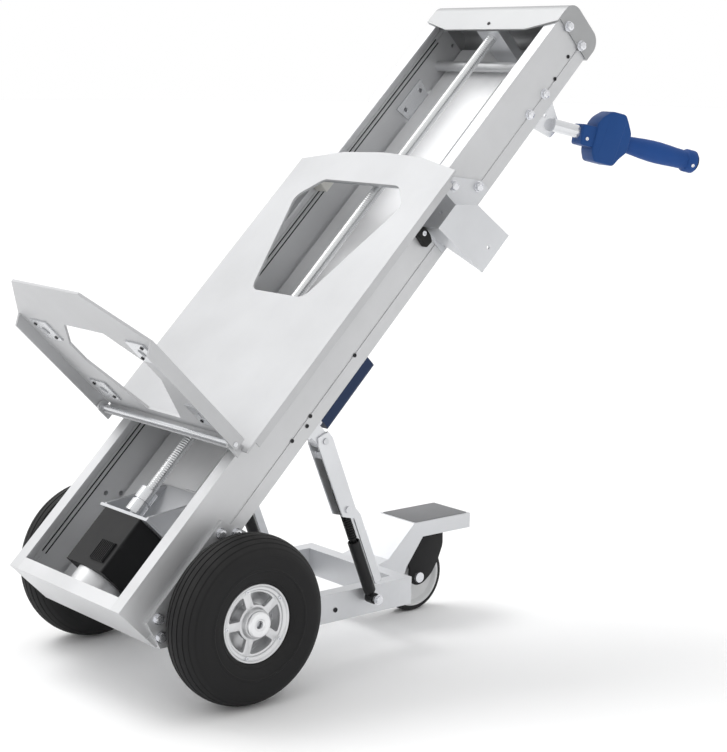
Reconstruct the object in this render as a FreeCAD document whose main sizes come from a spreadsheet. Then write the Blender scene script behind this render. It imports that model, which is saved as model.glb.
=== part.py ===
import FreeCAD, Part
import math
import os
import re

import Sketcher

# A powered stair climbing trolley. Two aluminium rails lean back over a two-wheeled axle. A geared motor
# at the rail foot turns a lead screw that lifts a carriage and its toe plate. A castor base hinges on the
# axle and is held by two telescopic stays.
#
# Directions on the rails: "along" runs up the rails from the axle, "depth" runs from the axle towards the
# load, and "across" is X. All three start at the axle centre.

SIZES = {
    # rolling gear
    "tyre_radius": 130, "tyre_width": 80, "tyre_shoulder": 26, "tread_groove": 2.4, "track_half": 211,
    "rim_radius": 60, "rim_half_width": 30, "rim_wall": 7, "rim_face_out": 24, "rim_face_thick": 7,
    "hub_radius": 22, "hub_cap_radius": 21, "hub_cap_thick": 6, "hub_cap_hole": 6,
    "rim_window_radius": 10, "rim_window_ring": 36,
    "axle_radius": 10, "axle_collar_radius": 15, "axle_plate_thick": 6,
    "axle_plate_reach": 26, "axle_plate_half": 108, "axle_bolt_far": 95, "axle_bolt_near": 78,
    "axle_bolt_low": 71, "axle_bolt_high": 94,
    # rails and what closes them
    "lean": 45, "frame_half": 158, "rail_front": 152, "rail_depth": 90, "rail_foot": 110,
    "rail_length": 1230, "rail_wall": 4, "rail_front_lip": 24, "rail_back_lip": 16,
    "groove_depth": 1.2, "groove_width": 3, "groove_place": 86, "track_groove": 119, "track_groove_gap": 8,
    "panel_thick": 2, "rib_half": 14, "rib_height": 3,
    "cap_height": 44, "cap_wall": 3, "cap_overhang": 4, "cap_round": 24, "cap_lip_drop": 26,
    "cap_lip_half": 98, "cap_overlap": 14, "cap_bolt_rise": 6,
    "cross_tube_radius": 9, "cross_tube_place": 1062, "cross_tube_depth": 84,
    # drive
    "screw_radius": 9, "screw_depth": 131, "screw_start": 88,
    "bearing_place": 1084, "bearing_height": 18, "bearing_half": 26,
    "motor_half": 50, "motor_depth": 79, "motor_top": 37, "motor_height": 99, "motor_cap_radius": 38,
    "motor_cap_height": 33, "motor_cap_depth": 106, "motor_shaft_radius": 6, "motor_plug_width": 36,
    "motor_plug_height": 35, "bracket_thick": 5, "bracket_half": 75, "bracket_rise": 92, "gusset_place": 56,
    "coupling_radius": 15, "coupling_length": 44, "socket_head_radius": 5, "socket_head_height": 8,
    # carriage
    "carriage_half": 195, "carriage_gap": 10, "carriage_thick": 4, "carriage_foot": 184,
    "carriage_shoulder": 752, "carriage_crown": 778, "carriage_hem": 10,
    "window_foot": 467, "window_wide": 668, "window_top": 710, "window_foot_half": 68,
    "window_wide_half": 137, "window_top_half": 95, "window_round": 22,
    "beam_place": 300, "beam_height": 60, "beam_half": 125, "beam_depth": 44, "top_beam_place": 722,
    "top_beam_height": 28, "top_beam_depth": 18, "nut_radius": 17, "nut_length": 52, "nut_flange_radius": 24,
    "nut_flange_thick": 8, "shoe_depth": 20, "shoe_length": 44,
    # toe plate
    "toe_thick": 4, "toe_under": 194, "toe_start": 177, "toe_straight": 402, "toe_tip": 490,
    "toe_half": 187, "toe_tip_half": 94, "toe_flange": 18, "toe_flange_wall": 4,
    "toe_open_start": 196, "toe_open_wide": 302, "toe_open_narrow": 342, "toe_open_end": 397,
    "toe_open_start_half": 45, "toe_open_wide_half": 105, "toe_open_end_half": 55,
    "toe_pivot_along": 182, "toe_pivot_depth": 184, "toe_pin_radius": 4, "ear_thick": 4, "ear_place": 176,
    "ear_round": 9, "pad_length": 44, "pad_width": 46, "pad_thick": 3, "near_pad_start": 204,
    "far_pad_start": 350, "pad_inner": 112, "pad_hole": 8,
    # castor base
    "arm_inner": 108, "arm_width": 25, "arm_top": 108, "arm_bottom": 62, "arm_end": 372, "arm_lug": 27,
    "member_depth": 25, "foot_half": 47, "foot_wall": 3, "foot_start": 478, "foot_end": 608,
    "foot_height": 168, "foot_skirt": 26, "riser_rear": 448,
    "castor_swivel": 538, "castor_trail": 28, "castor_radius": 62.5, "castor_width": 32,
    "castor_tread": 9, "castor_bore": 6, "fork_gap": 3.5, "fork_wall": 4, "fork_crown": 138,
    "fork_lug": 20, "kingpin_radius": 10, "race_radius": 26,
    # telescopic stays
    "stay_radius": 302, "stay_top_angle": 6.3, "stay_foot_angle": 7, "stay_across": 147,
    "stay_pin_radius": 5, "stay_tube_radius": 10, "stay_side_gap": 0.3, "stay_plate": 3,
    "stay_plate_half": 15, "stay_wide_length": 136, "stay_guide_length": 268, "stay_guide_near": 6,
    "stay_guide_far": 20,
    "stay_tube_start": 186, "stay_eye_radius": 9, "stay_bracket_height": 36, "stay_bracket_thick": 4,
    # handles
    "handle_along": 979, "handle_depth": 34, "handle_across": 157, "splay": 20, "droop": 13,
    "tube_radius": 11, "tube_length": 268, "bracket_plate": 4, "pod_half": 23, "pod_start": 47,
    "pod_end": 138, "pod_top": 46, "pod_bottom": 43, "collar_top": 14, "collar_bottom": 22,
    "grip_end": 277, "grip_neck": 16, "grip_swell": 19, "grip_tail": 17, "grip_ring": 20,
    "plug_radius": 16, "plug_length": 4, "rocker_half": 5, "rocker_length": 22, "rocker_rise": 3,
    "rocker_sink": 7, "rocker_place": 100,
    # battery, side bracket, bolts
    "battery_start": 320, "battery_length": 128, "battery_half": 156, "battery_thick": 25,
    "battery_round": 8, "side_reach": 41, "side_start": 663, "side_height": 90, "side_back": 6,
    "side_slope": 16, "side_hole": 3,
    "side_front": 128, "side_wall": 3, "side_flange_top": 802, "side_flange_back": 66,
    "bolt_radius": 4, "bolt_head_radius": 7.5, "bolt_head_height": 5, "bolt_length": 9,
    "running_gap": 0.05, "side_gap": 0.3,
    # where the axle stands so that the trolley's middle is over the origin; set once the pieces are made
    "axle_place": 0,
}

doc = FreeCAD.newDocument("StairClimbingTrolley")
sheet = doc.addObject("Spreadsheet::Sheet", "Sizes")
CELL = {}
for row, (name, size) in enumerate(SIZES.items(), start=1):
    sheet.set(f"A{row}", name)
    sheet.set(f"B{row}", str(size))
    sheet.setAlias(f"B{row}", name)
    CELL[name] = f"B{row}"
doc.recompute()

NODES = []


# ---------------------------------------------------------------- helpers

def cells(expression):
    """The same expression with every size's name pointing at its cell."""
    return re.sub(r"[a-z][a-z_0-9]*", lambda m: "Sizes." + m.group() if m.group() in SIZES else m.group(),
                  expression)


def value(expression):
    return float(sheet.evalExpression(cells(expression)))


def frame(base, x="0", y="0", z="0", turn="rotationx(0)"):
    """A placement expression: base, then a move, then a turn."""
    return f"{base} * placement(vector({x}; {y}; {z}); {turn})"


FLOOR = "placement(vector(0; axle_place; 0); rotationx(0))"
AXLE = frame(FLOOR, z="tyre_radius")
RAILS = frame(AXLE, turn="rotationx(-lean)")

SIDES = (("left", -1), ("right", 1))


def node(item, label):
    item.Label = label
    NODES.append(item)
    return item


def new_body(name, base):
    body = doc.addObject("PartDesign::Body", name)
    body.setExpression("Placement", cells(base))
    return body


def sketch(body, role, start="0"):
    plane = [f for f in body.Origin.OriginFeatures if f.Role == role][0]
    profile = body.newObject("Sketcher::SketchObject", body.Name + "_sketch")
    profile.AttachmentSupport = (plane, [""])
    profile.MapMode = "FlatFace"
    profile.setExpression("AttachmentOffset.Base.z", cells(start))
    return profile


def pin_down(profile, kind, index, position, expression):
    """Ties one coordinate of a sketch point to an expression."""
    number = profile.addConstraint(Sketcher.Constraint(kind, -1, 1, index, position, value(expression)))
    profile.setExpression(f"Constraints[{number}]", cells(expression))


def polygon(profile, points):
    first = profile.GeometryCount
    places = [FreeCAD.Vector(value(x), value(y), 0) for x, y in points]
    count = len(points)
    for i in range(count):
        profile.addGeometry(Part.LineSegment(places[i], places[(i + 1) % count]), False)
    for i in range(count):
        profile.addConstraint(Sketcher.Constraint("Coincident", first + i, 2, first + (i + 1) % count, 1))
    for i, (x, y) in enumerate(points):
        pin_down(profile, "DistanceX", first + i, 1, x)
        pin_down(profile, "DistanceY", first + i, 1, y)


def circle(profile, x, y, radius):
    centre = FreeCAD.Vector(value(x), value(y), 0)
    index = profile.addGeometry(Part.Circle(centre, FreeCAD.Vector(0, 0, 1), value(radius)), False)
    pin_down(profile, "DistanceX", index, 3, x)
    pin_down(profile, "DistanceY", index, 3, y)
    number = profile.addConstraint(Sketcher.Constraint("Radius", index, value(radius)))
    profile.setExpression(f"Constraints[{number}]", cells(radius))


def pad(body, profile, thick):
    feature = body.newObject("PartDesign::Pad", body.Name + "_pad")
    feature.Profile = profile
    feature.setExpression("Length", cells(thick))
    return feature


def pocket(body, profile, deep):
    """Cuts from the sketch along its own normal."""
    doc.recompute()
    before = body.Shape.Volume
    feature = body.newObject("PartDesign::Pocket", body.Name + "_pocket")
    feature.Profile = profile
    feature.Reversed = True
    feature.setExpression("Length", cells(deep))
    doc.recompute()
    if not feature.Shape.Volume < before:
        raise RuntimeError(f"{body.Name}: a pocket cuts nothing")
    return feature


def round_edges(body, base, points, radius, axis):
    """Rounds the straight edges that run along axis through the given points."""
    doc.recompute()
    wanted = [tuple(value(c) for c in point) for point in points]
    flat = [i for i in range(3) if i != axis]
    names = []
    for number, edge in enumerate(base.Shape.Edges, start=1):
        ends = [v.Point for v in edge.Vertexes]
        if len(ends) != 2 or any(abs(ends[0][i] - ends[1][i]) > 1e-4 for i in flat):
            continue
        here = tuple(ends[0][i] for i in flat)
        if any(math.dist(here, spot) < 1e-3 for spot in wanted):
            names.append(f"Edge{number}")
    if not names:
        raise RuntimeError(f"{body.Name}: no edge to round")
    feature = body.newObject("PartDesign::Fillet", body.Name + "_round")
    feature.Base = (base, names)
    feature.setExpression("Radius", cells(radius))
    return feature


def plate(name, base, role, start, thick, outline, holes=(), cutouts=()):
    """A flat piece: an outline with round holes and polygon cut-outs, as thick as it says."""
    body = new_body(name, base)
    profile = sketch(body, role, start)
    polygon(profile, outline)
    for hole in holes:
        circle(profile, *hole)
    for cutout in cutouts:
        polygon(profile, cutout)
    pad(body, profile, thick)
    return body


def turned(name, base, outline):
    """A round piece: an outline of (along X, radius) turned about X."""
    body = new_body(name, base)
    profile = sketch(body, "XY_Plane")
    polygon(profile, outline)
    feature = body.newObject("PartDesign::Revolution", name + "_turn")
    feature.Profile = profile
    feature.ReferenceAxis = (profile, ["H_Axis"])
    feature.Angle = 360
    return body


def block(name, base, x, y, z):
    """A box between pairs of expressions."""
    item = doc.addObject("Part::Box", name)
    for size, (low, high) in zip(("Length", "Width", "Height"), (x, y, z)):
        item.setExpression(size, cells(f"({high}) - ({low})"))
    item.setExpression("Placement", cells(frame(base, x[0], y[0], z[0])))
    return item


TURNS = {"x": "rotationy(90)", "y": "rotationx(-90)", "z": "rotationx(0)"}


def rod(name, base, axis, centre, radius, length):
    """A cylinder that starts at centre and runs along the named axis."""
    item = doc.addObject("Part::Cylinder", name)
    item.setExpression("Radius", cells(radius))
    item.setExpression("Height", cells(length))
    item.setExpression("Placement", cells(frame(base, *centre, turn=TURNS[axis])))
    return item


def fuse(name, items):
    item = doc.addObject("Part::MultiFuse", name)
    item.Shapes = items
    item.Refine = True
    return item


def cut(name, base, tools):
    item = doc.addObject("Part::Cut", name)
    item.Base = base
    item.Tool = tools[0] if len(tools) == 1 else fuse(name + "_tools", tools)
    item.Refine = True
    return item


def across(low, high, side):
    """A range of X on the right, or its mirror on the left."""
    return (low, high) if side > 0 else (f"-({high})", f"-({low})")


def fasteners(label, base, spots, shape):
    """A group of identical fasteners: copies of a shape that points along +Z, each at a spot and pointing
    the way that the spot says."""
    item = doc.addObject("Part::Feature", label)
    copies = []
    for x, y, z, direction in spots:
        one = shape.copy()
        one.Placement = FreeCAD.Placement(FreeCAD.Vector(value(x), value(y), value(z)),
                                          FreeCAD.Rotation(FreeCAD.Vector(0, 0, 1), direction))
        copies.append(one)
    item.Shape = Part.makeCompound(copies)
    item.setExpression("Placement", cells(base))
    return node(item, label)


RIGHTWARDS = FreeCAD.Vector(1, 0, 0)
LOADWARDS = FreeCAD.Vector(0, -1, 0)


# ---------------------------------------------------------------- rails and covers

RAIL_BACK = "(rail_front - rail_depth)"
RAIL_TOP = "(rail_length - rail_foot)"
WALL_IN = "(frame_half - rail_wall)"


def rail(name, side):
    """An extruded channel: side wall, lip over the load side and a shorter lip behind. A shallow groove
    runs down its outer face and two down its inner face."""
    def at(x, depth):
        return (f"{side} * ({x})", f"-({depth})")
    body = new_body("rail_" + name, RAILS)
    profile = sketch(body, "XY_Plane", "-rail_foot")
    polygon(profile, [
        at("frame_half", RAIL_BACK),
        at("frame_half", "groove_place - groove_width / 2"),
        at("frame_half - groove_depth", "groove_place - groove_width / 2"),
        at("frame_half - groove_depth", "groove_place + groove_width / 2"),
        at("frame_half", "groove_place + groove_width / 2"),
        at("frame_half", "rail_front"),
        at("frame_half - rail_front_lip", "rail_front"),
        at("frame_half - rail_front_lip", "rail_front - rail_wall"),
        at(WALL_IN, "rail_front - rail_wall"),
        at(WALL_IN, "track_groove + track_groove_gap + groove_width"),
        at(WALL_IN + " + groove_depth", "track_groove + track_groove_gap + groove_width"),
        at(WALL_IN + " + groove_depth", "track_groove + track_groove_gap"),
        at(WALL_IN, "track_groove + track_groove_gap"),
        at(WALL_IN, "track_groove + groove_width"),
        at(WALL_IN + " + groove_depth", "track_groove + groove_width"),
        at(WALL_IN + " + groove_depth", "track_groove"),
        at(WALL_IN, "track_groove"),
        at(WALL_IN, RAIL_BACK + " + rail_wall"),
        at("frame_half - rail_back_lip", RAIL_BACK + " + rail_wall"),
        at("frame_half - rail_back_lip", RAIL_BACK),
    ])
    pad(body, profile, "rail_length")

    low, high = across(WALL_IN + " - 1", "frame_half + 1", side)
    holes = sketch(body, "YZ_Plane", low)
    for along, depth in RAIL_BOLTS[name]:
        circle(holes, f"-({depth})", along, "bolt_radius + running_gap")
    pocket(body, holes, f"({high}) - ({low})")

    low, high = across("frame_half - rail_back_lip - 1", WALL_IN + " + side_gap", side)
    slot = sketch(body, "YZ_Plane", low)
    polygon(slot, [(f"-({RAIL_BACK} - 1)", f"handle_along + {step}") for step in (-HANDLE_SLOT, HANDLE_SLOT)]
            + [(f"-({RAIL_BACK} + rail_wall + 1)", f"handle_along + {step}")
               for step in (HANDLE_SLOT, -HANDLE_SLOT)])
    pocket(body, slot, f"({high}) - ({low})")
    return node(body, name + "_rail")


HANDLE_SLOT = 40
AXLE_BOLTS = [(f"{sign} * {along}", depth) for sign in (-1, 1)
              for along, depth in (("axle_bolt_far", "axle_bolt_low"), ("axle_bolt_near", "axle_bolt_high"))]
HANDLE_BOLTS = [("handle_along - 28", "groove_place"), ("handle_along + 20", "groove_place")]
SIDE_BOLTS = [("side_start + side_height", "side_front - 5"), ("side_flange_top - 13", "groove_place")]
CAP_FOOT = f"({RAIL_TOP} - cap_overlap)"
CAP_BOLTS = [(CAP_FOOT + " + cap_bolt_rise", depth) for depth in ("groove_place", "rail_front - 22")]
RAIL_BOLTS = {"left": AXLE_BOLTS + HANDLE_BOLTS + CAP_BOLTS,
              "right": AXLE_BOLTS + HANDLE_BOLTS + CAP_BOLTS + SIDE_BOLTS}


def back_panel():
    """The sheet that closes the channel behind the screw, with one pressed rib up its middle."""
    edge = WALL_IN + " - 5"
    depth = RAIL_BACK + " + rail_wall"
    sheet_part = block("back_sheet", RAILS, ("-(" + edge + ")", edge),
                       (f"-({depth} + panel_thick)", f"-({depth})"),
                       ("rail_wall - rail_foot", RAIL_TOP))
    rib = block("back_rib", RAILS, ("-rib_half", "rib_half"),
                (f"-({depth} + panel_thick + rib_height)", f"-({depth} + panel_thick)"),
                ("motor_top + bracket_thick + bracket_rise + 4", "cross_tube_place - 20"))
    return node(fuse("back_panel", [sheet_part, rib]), "back_panel")


def foot_channel():
    """The cross channel welded between the rails at their foot."""
    lip_top = "rail_front_lip - rail_foot - 2"
    floor = block("foot_floor", RAILS, ("-" + WALL_IN, WALL_IN),
                  ("-(rail_front - rail_wall)", f"-({RAIL_BACK} + rail_wall)"),
                  ("-rail_foot", "rail_wall - rail_foot"))
    front = block("foot_front", RAILS, ("rail_front_lip - frame_half", "frame_half - rail_front_lip"),
                  ("-rail_front", "-(rail_front - rail_wall)"), ("-rail_foot", lip_top))
    back = block("foot_back", RAILS, ("rail_back_lip - frame_half", "frame_half - rail_back_lip"),
                 (f"-({RAIL_BACK} + rail_wall)", f"-{RAIL_BACK}"), ("-rail_foot", lip_top))
    return node(fuse("foot_channel", [floor, front, back]), "foot_channel")


def top_cap():
    """A folded hood over the rail tops: round-cornered end plates and a tapered front lip."""
    outer = "frame_half + side_gap + cap_wall"
    front = "rail_front + side_gap + cap_wall"
    back = RAIL_BACK + " - cap_overhang"
    foot = CAP_FOOT + " + side_gap"
    top = CAP_FOOT + " + cap_height"

    hood = new_body("cap_hood", RAILS)
    profile = sketch(hood, "YZ_Plane", f"-({outer})")
    polygon(profile, [(f"-({front})", foot), (f"-({front})", top), (f"-({back})", top), (f"-({back})", foot)])
    shell = pad(hood, profile, f"2 * ({outer})")
    round_edges(hood, shell, [(f"-({front})", top), (f"-({back})", top)], "cap_round", 0)

    inner = new_body("cap_inside", RAILS)
    profile = sketch(inner, "YZ_Plane", f"-({outer} - cap_wall)")
    polygon(profile, [(f"-({front} - cap_wall)", foot + " - 1"),
                      (f"-({front} - cap_wall)", top + " - cap_wall"),
                      (f"-({back} + cap_wall)", top + " - cap_wall"),
                      (f"-({back} + cap_wall)", foot + " - 1")])
    core = pad(inner, profile, f"2 * ({outer} - cap_wall)")
    round_edges(inner, core, [(f"-({front} - cap_wall)", top + " - cap_wall"),
                              (f"-({back} + cap_wall)", top + " - cap_wall")], "cap_round - cap_wall", 0)
    hollow = cut("cap_shell", hood, [inner])

    lip = plate("cap_lip", RAILS, "XZ_Plane", "rail_front + side_gap", "cap_wall",
                [(f"-({outer})", foot), (f"-({outer})", foot + " - 6"),
                 ("-cap_lip_half", foot + " - cap_lip_drop"),
                 ("cap_lip_half", foot + " - cap_lip_drop"), (outer, foot + " - 6"), (outer, foot)])
    whole = fuse("cap_whole", [hollow, lip])
    holes = []
    for number, (along, depth) in enumerate(CAP_BOLTS):
        holes.append(rod(f"cap_hole_{number}", RAILS, "x", (f"-({outer}) - 1", f"-({depth})", along),
                         "bolt_radius + running_gap", f"2 * ({outer}) + 2"))
    return node(cut("top_cap", whole, holes), "top_cap")


def cross_tube():
    """A round tube that holds the rail tops apart."""
    reach = WALL_IN
    tube = rod("tube_outside", RAILS, "x", ("-" + reach, "-cross_tube_depth", "cross_tube_place"),
               "cross_tube_radius", "2 * " + reach)
    bore = rod("tube_inside", RAILS, "x", ("-" + reach + " - 1", "-cross_tube_depth", "cross_tube_place"),
               "cross_tube_radius - 2", "2 * " + reach + " + 2")
    return node(cut("cross_tube", tube, [bore]), "cross_tube")


for label, direction in SIDES:
    rail(label, direction)
back_panel()
foot_channel()
top_cap()
cross_tube()


# ---------------------------------------------------------------- drive

PANEL_FACE = "(" + RAIL_BACK + " + rail_wall + panel_thick)"
SCREW_AT = ("0", "-screw_depth")


def bearing_block():
    """The plain bearing that holds the top of the lead screw, on a foot that reaches the back panel."""
    body = block("bearing_body", RAILS, ("-bearing_half", "bearing_half"),
                 ("-(screw_depth + screw_radius + 7)", f"-{PANEL_FACE}"),
                 ("bearing_place", "bearing_place + bearing_height"))
    bore = rod("bearing_bore", RAILS, "z", (*SCREW_AT, "bearing_place - 1"), "screw_radius + running_gap",
               "bearing_height + 2")
    return node(cut("screw_bearing", body, [bore]), "screw_bearing")


def motor_bracket():
    """A bent plate bolted to the back panel. Two triangular gussets carry the motor's shelf."""
    shelf_top = "motor_top + bracket_thick"
    front = PANEL_FACE + " + motor_depth"
    back = block("bracket_back", RAILS, ("-bracket_half", "bracket_half"),
                 (f"-({PANEL_FACE} + bracket_thick)", f"-{PANEL_FACE}"),
                 ("motor_top", shelf_top + " + bracket_rise"))
    shelf = block("bracket_shelf", RAILS, ("-gusset_place - bracket_thick - 4",
                                           "gusset_place + bracket_thick + 4"),
                  (f"-({front})", f"-{PANEL_FACE}"), ("motor_top", shelf_top))
    gussets = []
    for name, side in SIDES:
        low = across("gusset_place", "gusset_place + bracket_thick", side)[0]
        gussets.append(plate("bracket_gusset_" + name, RAILS, "YZ_Plane", low, "bracket_thick",
                             [(f"-({front} - 3)", shelf_top + " - 2"),
                              (f"-({PANEL_FACE} + 2)", shelf_top + " - 2"),
                              (f"-({PANEL_FACE} + 2)", shelf_top + " + bracket_rise - 3"),
                              (f"-({PANEL_FACE} + bracket_thick + 2)", shelf_top + " + bracket_rise - 3"),
                              (f"-({front} - 3)", shelf_top + " + 3")]))
    opening = rod("bracket_opening", RAILS, "z", (*SCREW_AT, "motor_top - 1"), "motor_shaft_radius + 5",
                  "bracket_thick + 2")
    return node(cut("motor_bracket", fuse("bracket_whole", [back, shelf] + gussets), [opening]),
                "motor_bracket")


def motor_housing():
    """The square gear-motor housing with its corner edges broken and a plug socket on the load side."""
    foot = "motor_top - motor_height"
    body = new_body("motor_box", RAILS)
    profile = sketch(body, "XY_Plane", foot)
    near, far = f"-{PANEL_FACE}", f"-({PANEL_FACE} + motor_depth)"
    polygon(profile, [("-motor_half", far), ("motor_half", far), ("motor_half", near), ("-motor_half", near)])
    box = pad(body, profile, "motor_height")
    round_edges(body, box, [("-motor_half", far), ("motor_half", far), ("motor_half", near),
                            ("-motor_half", near)],
                "3", 2)
    plug = block("motor_plug", RAILS, ("4", "4 + motor_plug_width"),
                 (f"-({PANEL_FACE} + motor_depth + 3)", far),
                 ("motor_top - motor_height + 14", "motor_top - motor_height + 14 + motor_plug_height"))
    bore = rod("motor_bore", RAILS, "z", (*SCREW_AT, "motor_top - 30"), "motor_shaft_radius + running_gap",
               "31")
    return node(cut("motor_housing", fuse("motor_whole", [body, plug]), [bore]), "motor_housing")


def motor_end_cap():
    """The round turned cap over the back of the motor."""
    return node(rod("motor_end_cap", RAILS, "z", ("0", "-motor_cap_depth",
                                                  "motor_top - motor_height - motor_cap_height"),
                    "motor_cap_radius", "motor_cap_height"), "motor_end_cap")


def lead_screw():
    """The lead screw, plain at its outer diameter, held by the top bearing and the shaft coupling."""
    return node(rod("lead_screw", RAILS, "z", (*SCREW_AT, "screw_start"), "screw_radius",
                    "bearing_place + bearing_height - 2 - screw_start"), "lead_screw")


def shaft_coupling():
    """The two-part clamp coupling with the motor's output shaft below it."""
    start = "motor_top + bracket_thick + 5"
    sleeve = rod("coupling_sleeve", RAILS, "z", (*SCREW_AT, start), "coupling_radius", "coupling_length")
    shaft = rod("coupling_shaft", RAILS, "z", (*SCREW_AT, "motor_top - 26"), "motor_shaft_radius",
                "bracket_thick + 31")
    waist_low = rod("coupling_waist", RAILS, "z", (*SCREW_AT, start + " + coupling_length / 2 - 1.5"),
                    "coupling_radius + 1", "3")
    waist_core = rod("coupling_core", RAILS, "z", (*SCREW_AT, start + " + coupling_length / 2 - 1.5"),
                     "coupling_radius - 3", "3")
    socket = rod("coupling_socket", RAILS, "z", (*SCREW_AT, "screw_start"), "screw_radius", "30")
    ring = cut("coupling_ring", waist_low, [waist_core])
    return node(cut("shaft_coupling", fuse("coupling_whole", [sleeve, shaft]), [ring, socket]),
                "shaft_coupling")


bearing_block()
motor_bracket()
motor_housing()
motor_end_cap()
lead_screw()
shaft_coupling()


# ---------------------------------------------------------------- axle and wheels

def axle():
    """The fixed stepped axle: its collars keep the base arms, the axle plates and the wheels in place."""
    end = "track_half + rim_half_width"
    plate_out = "frame_half + axle_plate_thick"
    steps = [
        ("0", "axle_radius"),
        ("arm_inner - 8", "axle_radius"), ("arm_inner - 8", "axle_collar_radius"),
        ("arm_inner - side_gap", "axle_collar_radius"), ("arm_inner - side_gap", "axle_radius"),
        ("arm_inner + arm_width + side_gap", "axle_radius"),
             ("arm_inner + arm_width + side_gap", "axle_collar_radius"),
        ("frame_half - side_gap", "axle_collar_radius"), ("frame_half - side_gap", "axle_radius"),
        (plate_out + " + side_gap", "axle_radius"), (plate_out + " + side_gap", "axle_collar_radius"),
        ("track_half - rim_half_width - side_gap", "axle_collar_radius"),
        ("track_half - rim_half_width - side_gap", "axle_radius"),
        (end, "axle_radius"),
    ]
    mirror = [(f"-({x})", radius) for x, radius in reversed(steps[1:])]
    outline = [("-(" + end + ")", "0")] + mirror + steps[1:] + [(end, "0")]
    return node(turned("axle", AXLE, outline), "axle")


def axle_plate(name, side):
    """The plate bolted to the outside of a rail that carries the axle behind it."""
    low = across("frame_half", "frame_half + axle_plate_thick", side)[0]
    top = "axle_bolt_high + 12"
    low_edge = "axle_bolt_low - 12"
    outline = [(f"-({top})", "-axle_plate_half + 14"), (f"-({low_edge})", "-axle_plate_half"),
               ("axle_plate_reach - 6", "-axle_plate_reach"), ("axle_plate_reach", "0"),
               ("axle_plate_reach - 6", "axle_plate_reach"),
               (f"-({low_edge})", "axle_plate_half"), (f"-({top})", "axle_plate_half - 14")]
    holes = [("0", "0", "axle_radius")]
    holes += [(f"-({depth})", along, "bolt_radius + running_gap") for along, depth in AXLE_BOLTS]
    body = plate("axle_plate_" + name, RAILS, "YZ_Plane", low, "axle_plate_thick", outline, holes)
    return node(body, name + "_axle_plate")


def wheel_frame(side):
    turn = "rotationz(0)" if side > 0 else "rotationz(180)"
    return frame(AXLE, x=f"{side} * track_half", turn=turn)


def tyre(name, side):
    """A wide rubber tyre with rounded shoulders and plain grooves round its tread."""
    body = turned("tyre_" + name, wheel_frame(side), [
        ("-rim_half_width + 2", "rim_radius"), ("-tyre_width / 2", "rim_radius + 12"),
                                                      ("-tyre_width / 2", "tyre_radius"),
        ("tyre_width / 2", "tyre_radius"), ("tyre_width / 2", "rim_radius + 12"),
                                                      ("rim_half_width - 2", "rim_radius")])
    doc.recompute()
    turn = body.Tip
    names = [f"Edge{i}" for i, edge in enumerate(turn.Shape.Edges, start=1)
             if hasattr(edge.Curve, "Radius") and abs(edge.Curve.Radius - value("tyre_radius")) < 1e-6]
    shoulders = body.newObject("PartDesign::Fillet", body.Name + "_shoulders")
    shoulders.Base = (turn, names)
    shoulders.setExpression("Radius", "Sizes.tyre_shoulder")
    doc.recompute()
    profile = sketch(body, "XY_Plane")
    for place in (-1, 0, 1):
        middle = f"{place} * tread_groove * 3"
        polygon(profile, [(f"{middle} - tread_groove / 2", "tyre_radius - 1.5"),
                          (f"{middle} + tread_groove / 2", "tyre_radius - 1.5"),
                          (f"{middle} + tread_groove / 2", "tyre_radius + 1"),
                          (f"{middle} - tread_groove / 2", "tyre_radius + 1")])
    groove = body.newObject("PartDesign::Groove", body.Name + "_grooves")
    groove.Profile = profile
    groove.ReferenceAxis = (profile, ["H_Axis"])
    groove.Angle = 360
    return node(body, name + "_tyre")


def rim(name, side):
    """A die-cast rim: barrel, dished face with five round windows and screw dimples, and a bored hub."""
    inner = "rim_radius - rim_wall"
    body = turned("rim_" + name, wheel_frame(side), [
        ("-rim_half_width", "axle_radius + running_gap"), ("-rim_half_width", "hub_radius"),
        ("rim_face_out - rim_face_thick", "hub_radius"), ("rim_face_out - rim_face_thick", inner),
        ("-rim_half_width", inner), ("-rim_half_width", "rim_radius"), ("rim_half_width", "rim_radius"),
        ("rim_half_width", inner + " - 4"), ("rim_face_out", inner + " - 8"), ("rim_face_out", "hub_radius"),
        ("rim_half_width", "hub_radius - 2"), ("rim_half_width", "axle_radius + running_gap")])
    doc.recompute()
    windows = sketch(body, "YZ_Plane", "rim_face_out - rim_face_thick - 1")
    circle(windows, "rim_window_ring", "0", "rim_window_radius")
    opening = pocket(body, windows, "rim_face_thick + 2")
    ring = body.newObject("PartDesign::PolarPattern", body.Name + "_ring")
    ring.Originals = [opening]
    ring.Axis = (windows, ["N_Axis"])
    ring.Angle = 360
    ring.Occurrences = 5
    body.Tip = ring
    return node(body, name + "_rim")


def hub_cap(name, side):
    """The pressed cap over the wheel's hub, with a hole in the middle."""
    base = wheel_frame(side)
    disc = rod("cap_disc_" + name, base, "x", ("rim_half_width", "0", "0"), "hub_cap_radius", "hub_cap_thick")
    hole = rod("cap_hole_" + name, base, "x", ("rim_half_width - 1", "0", "0"), "hub_cap_hole",
               "hub_cap_thick + 2")
    return node(cut("hub_cap_" + name, disc, [hole]), name + "_hub_cap")


axle()
for label, direction in SIDES:
    axle_plate(label, direction)
    tyre(label, direction)
    rim(label, direction)
    hub_cap(label, direction)


# ---------------------------------------------------------------- carriage and toe plate

CARRIAGE_BACK = "(rail_front + carriage_gap)"


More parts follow.
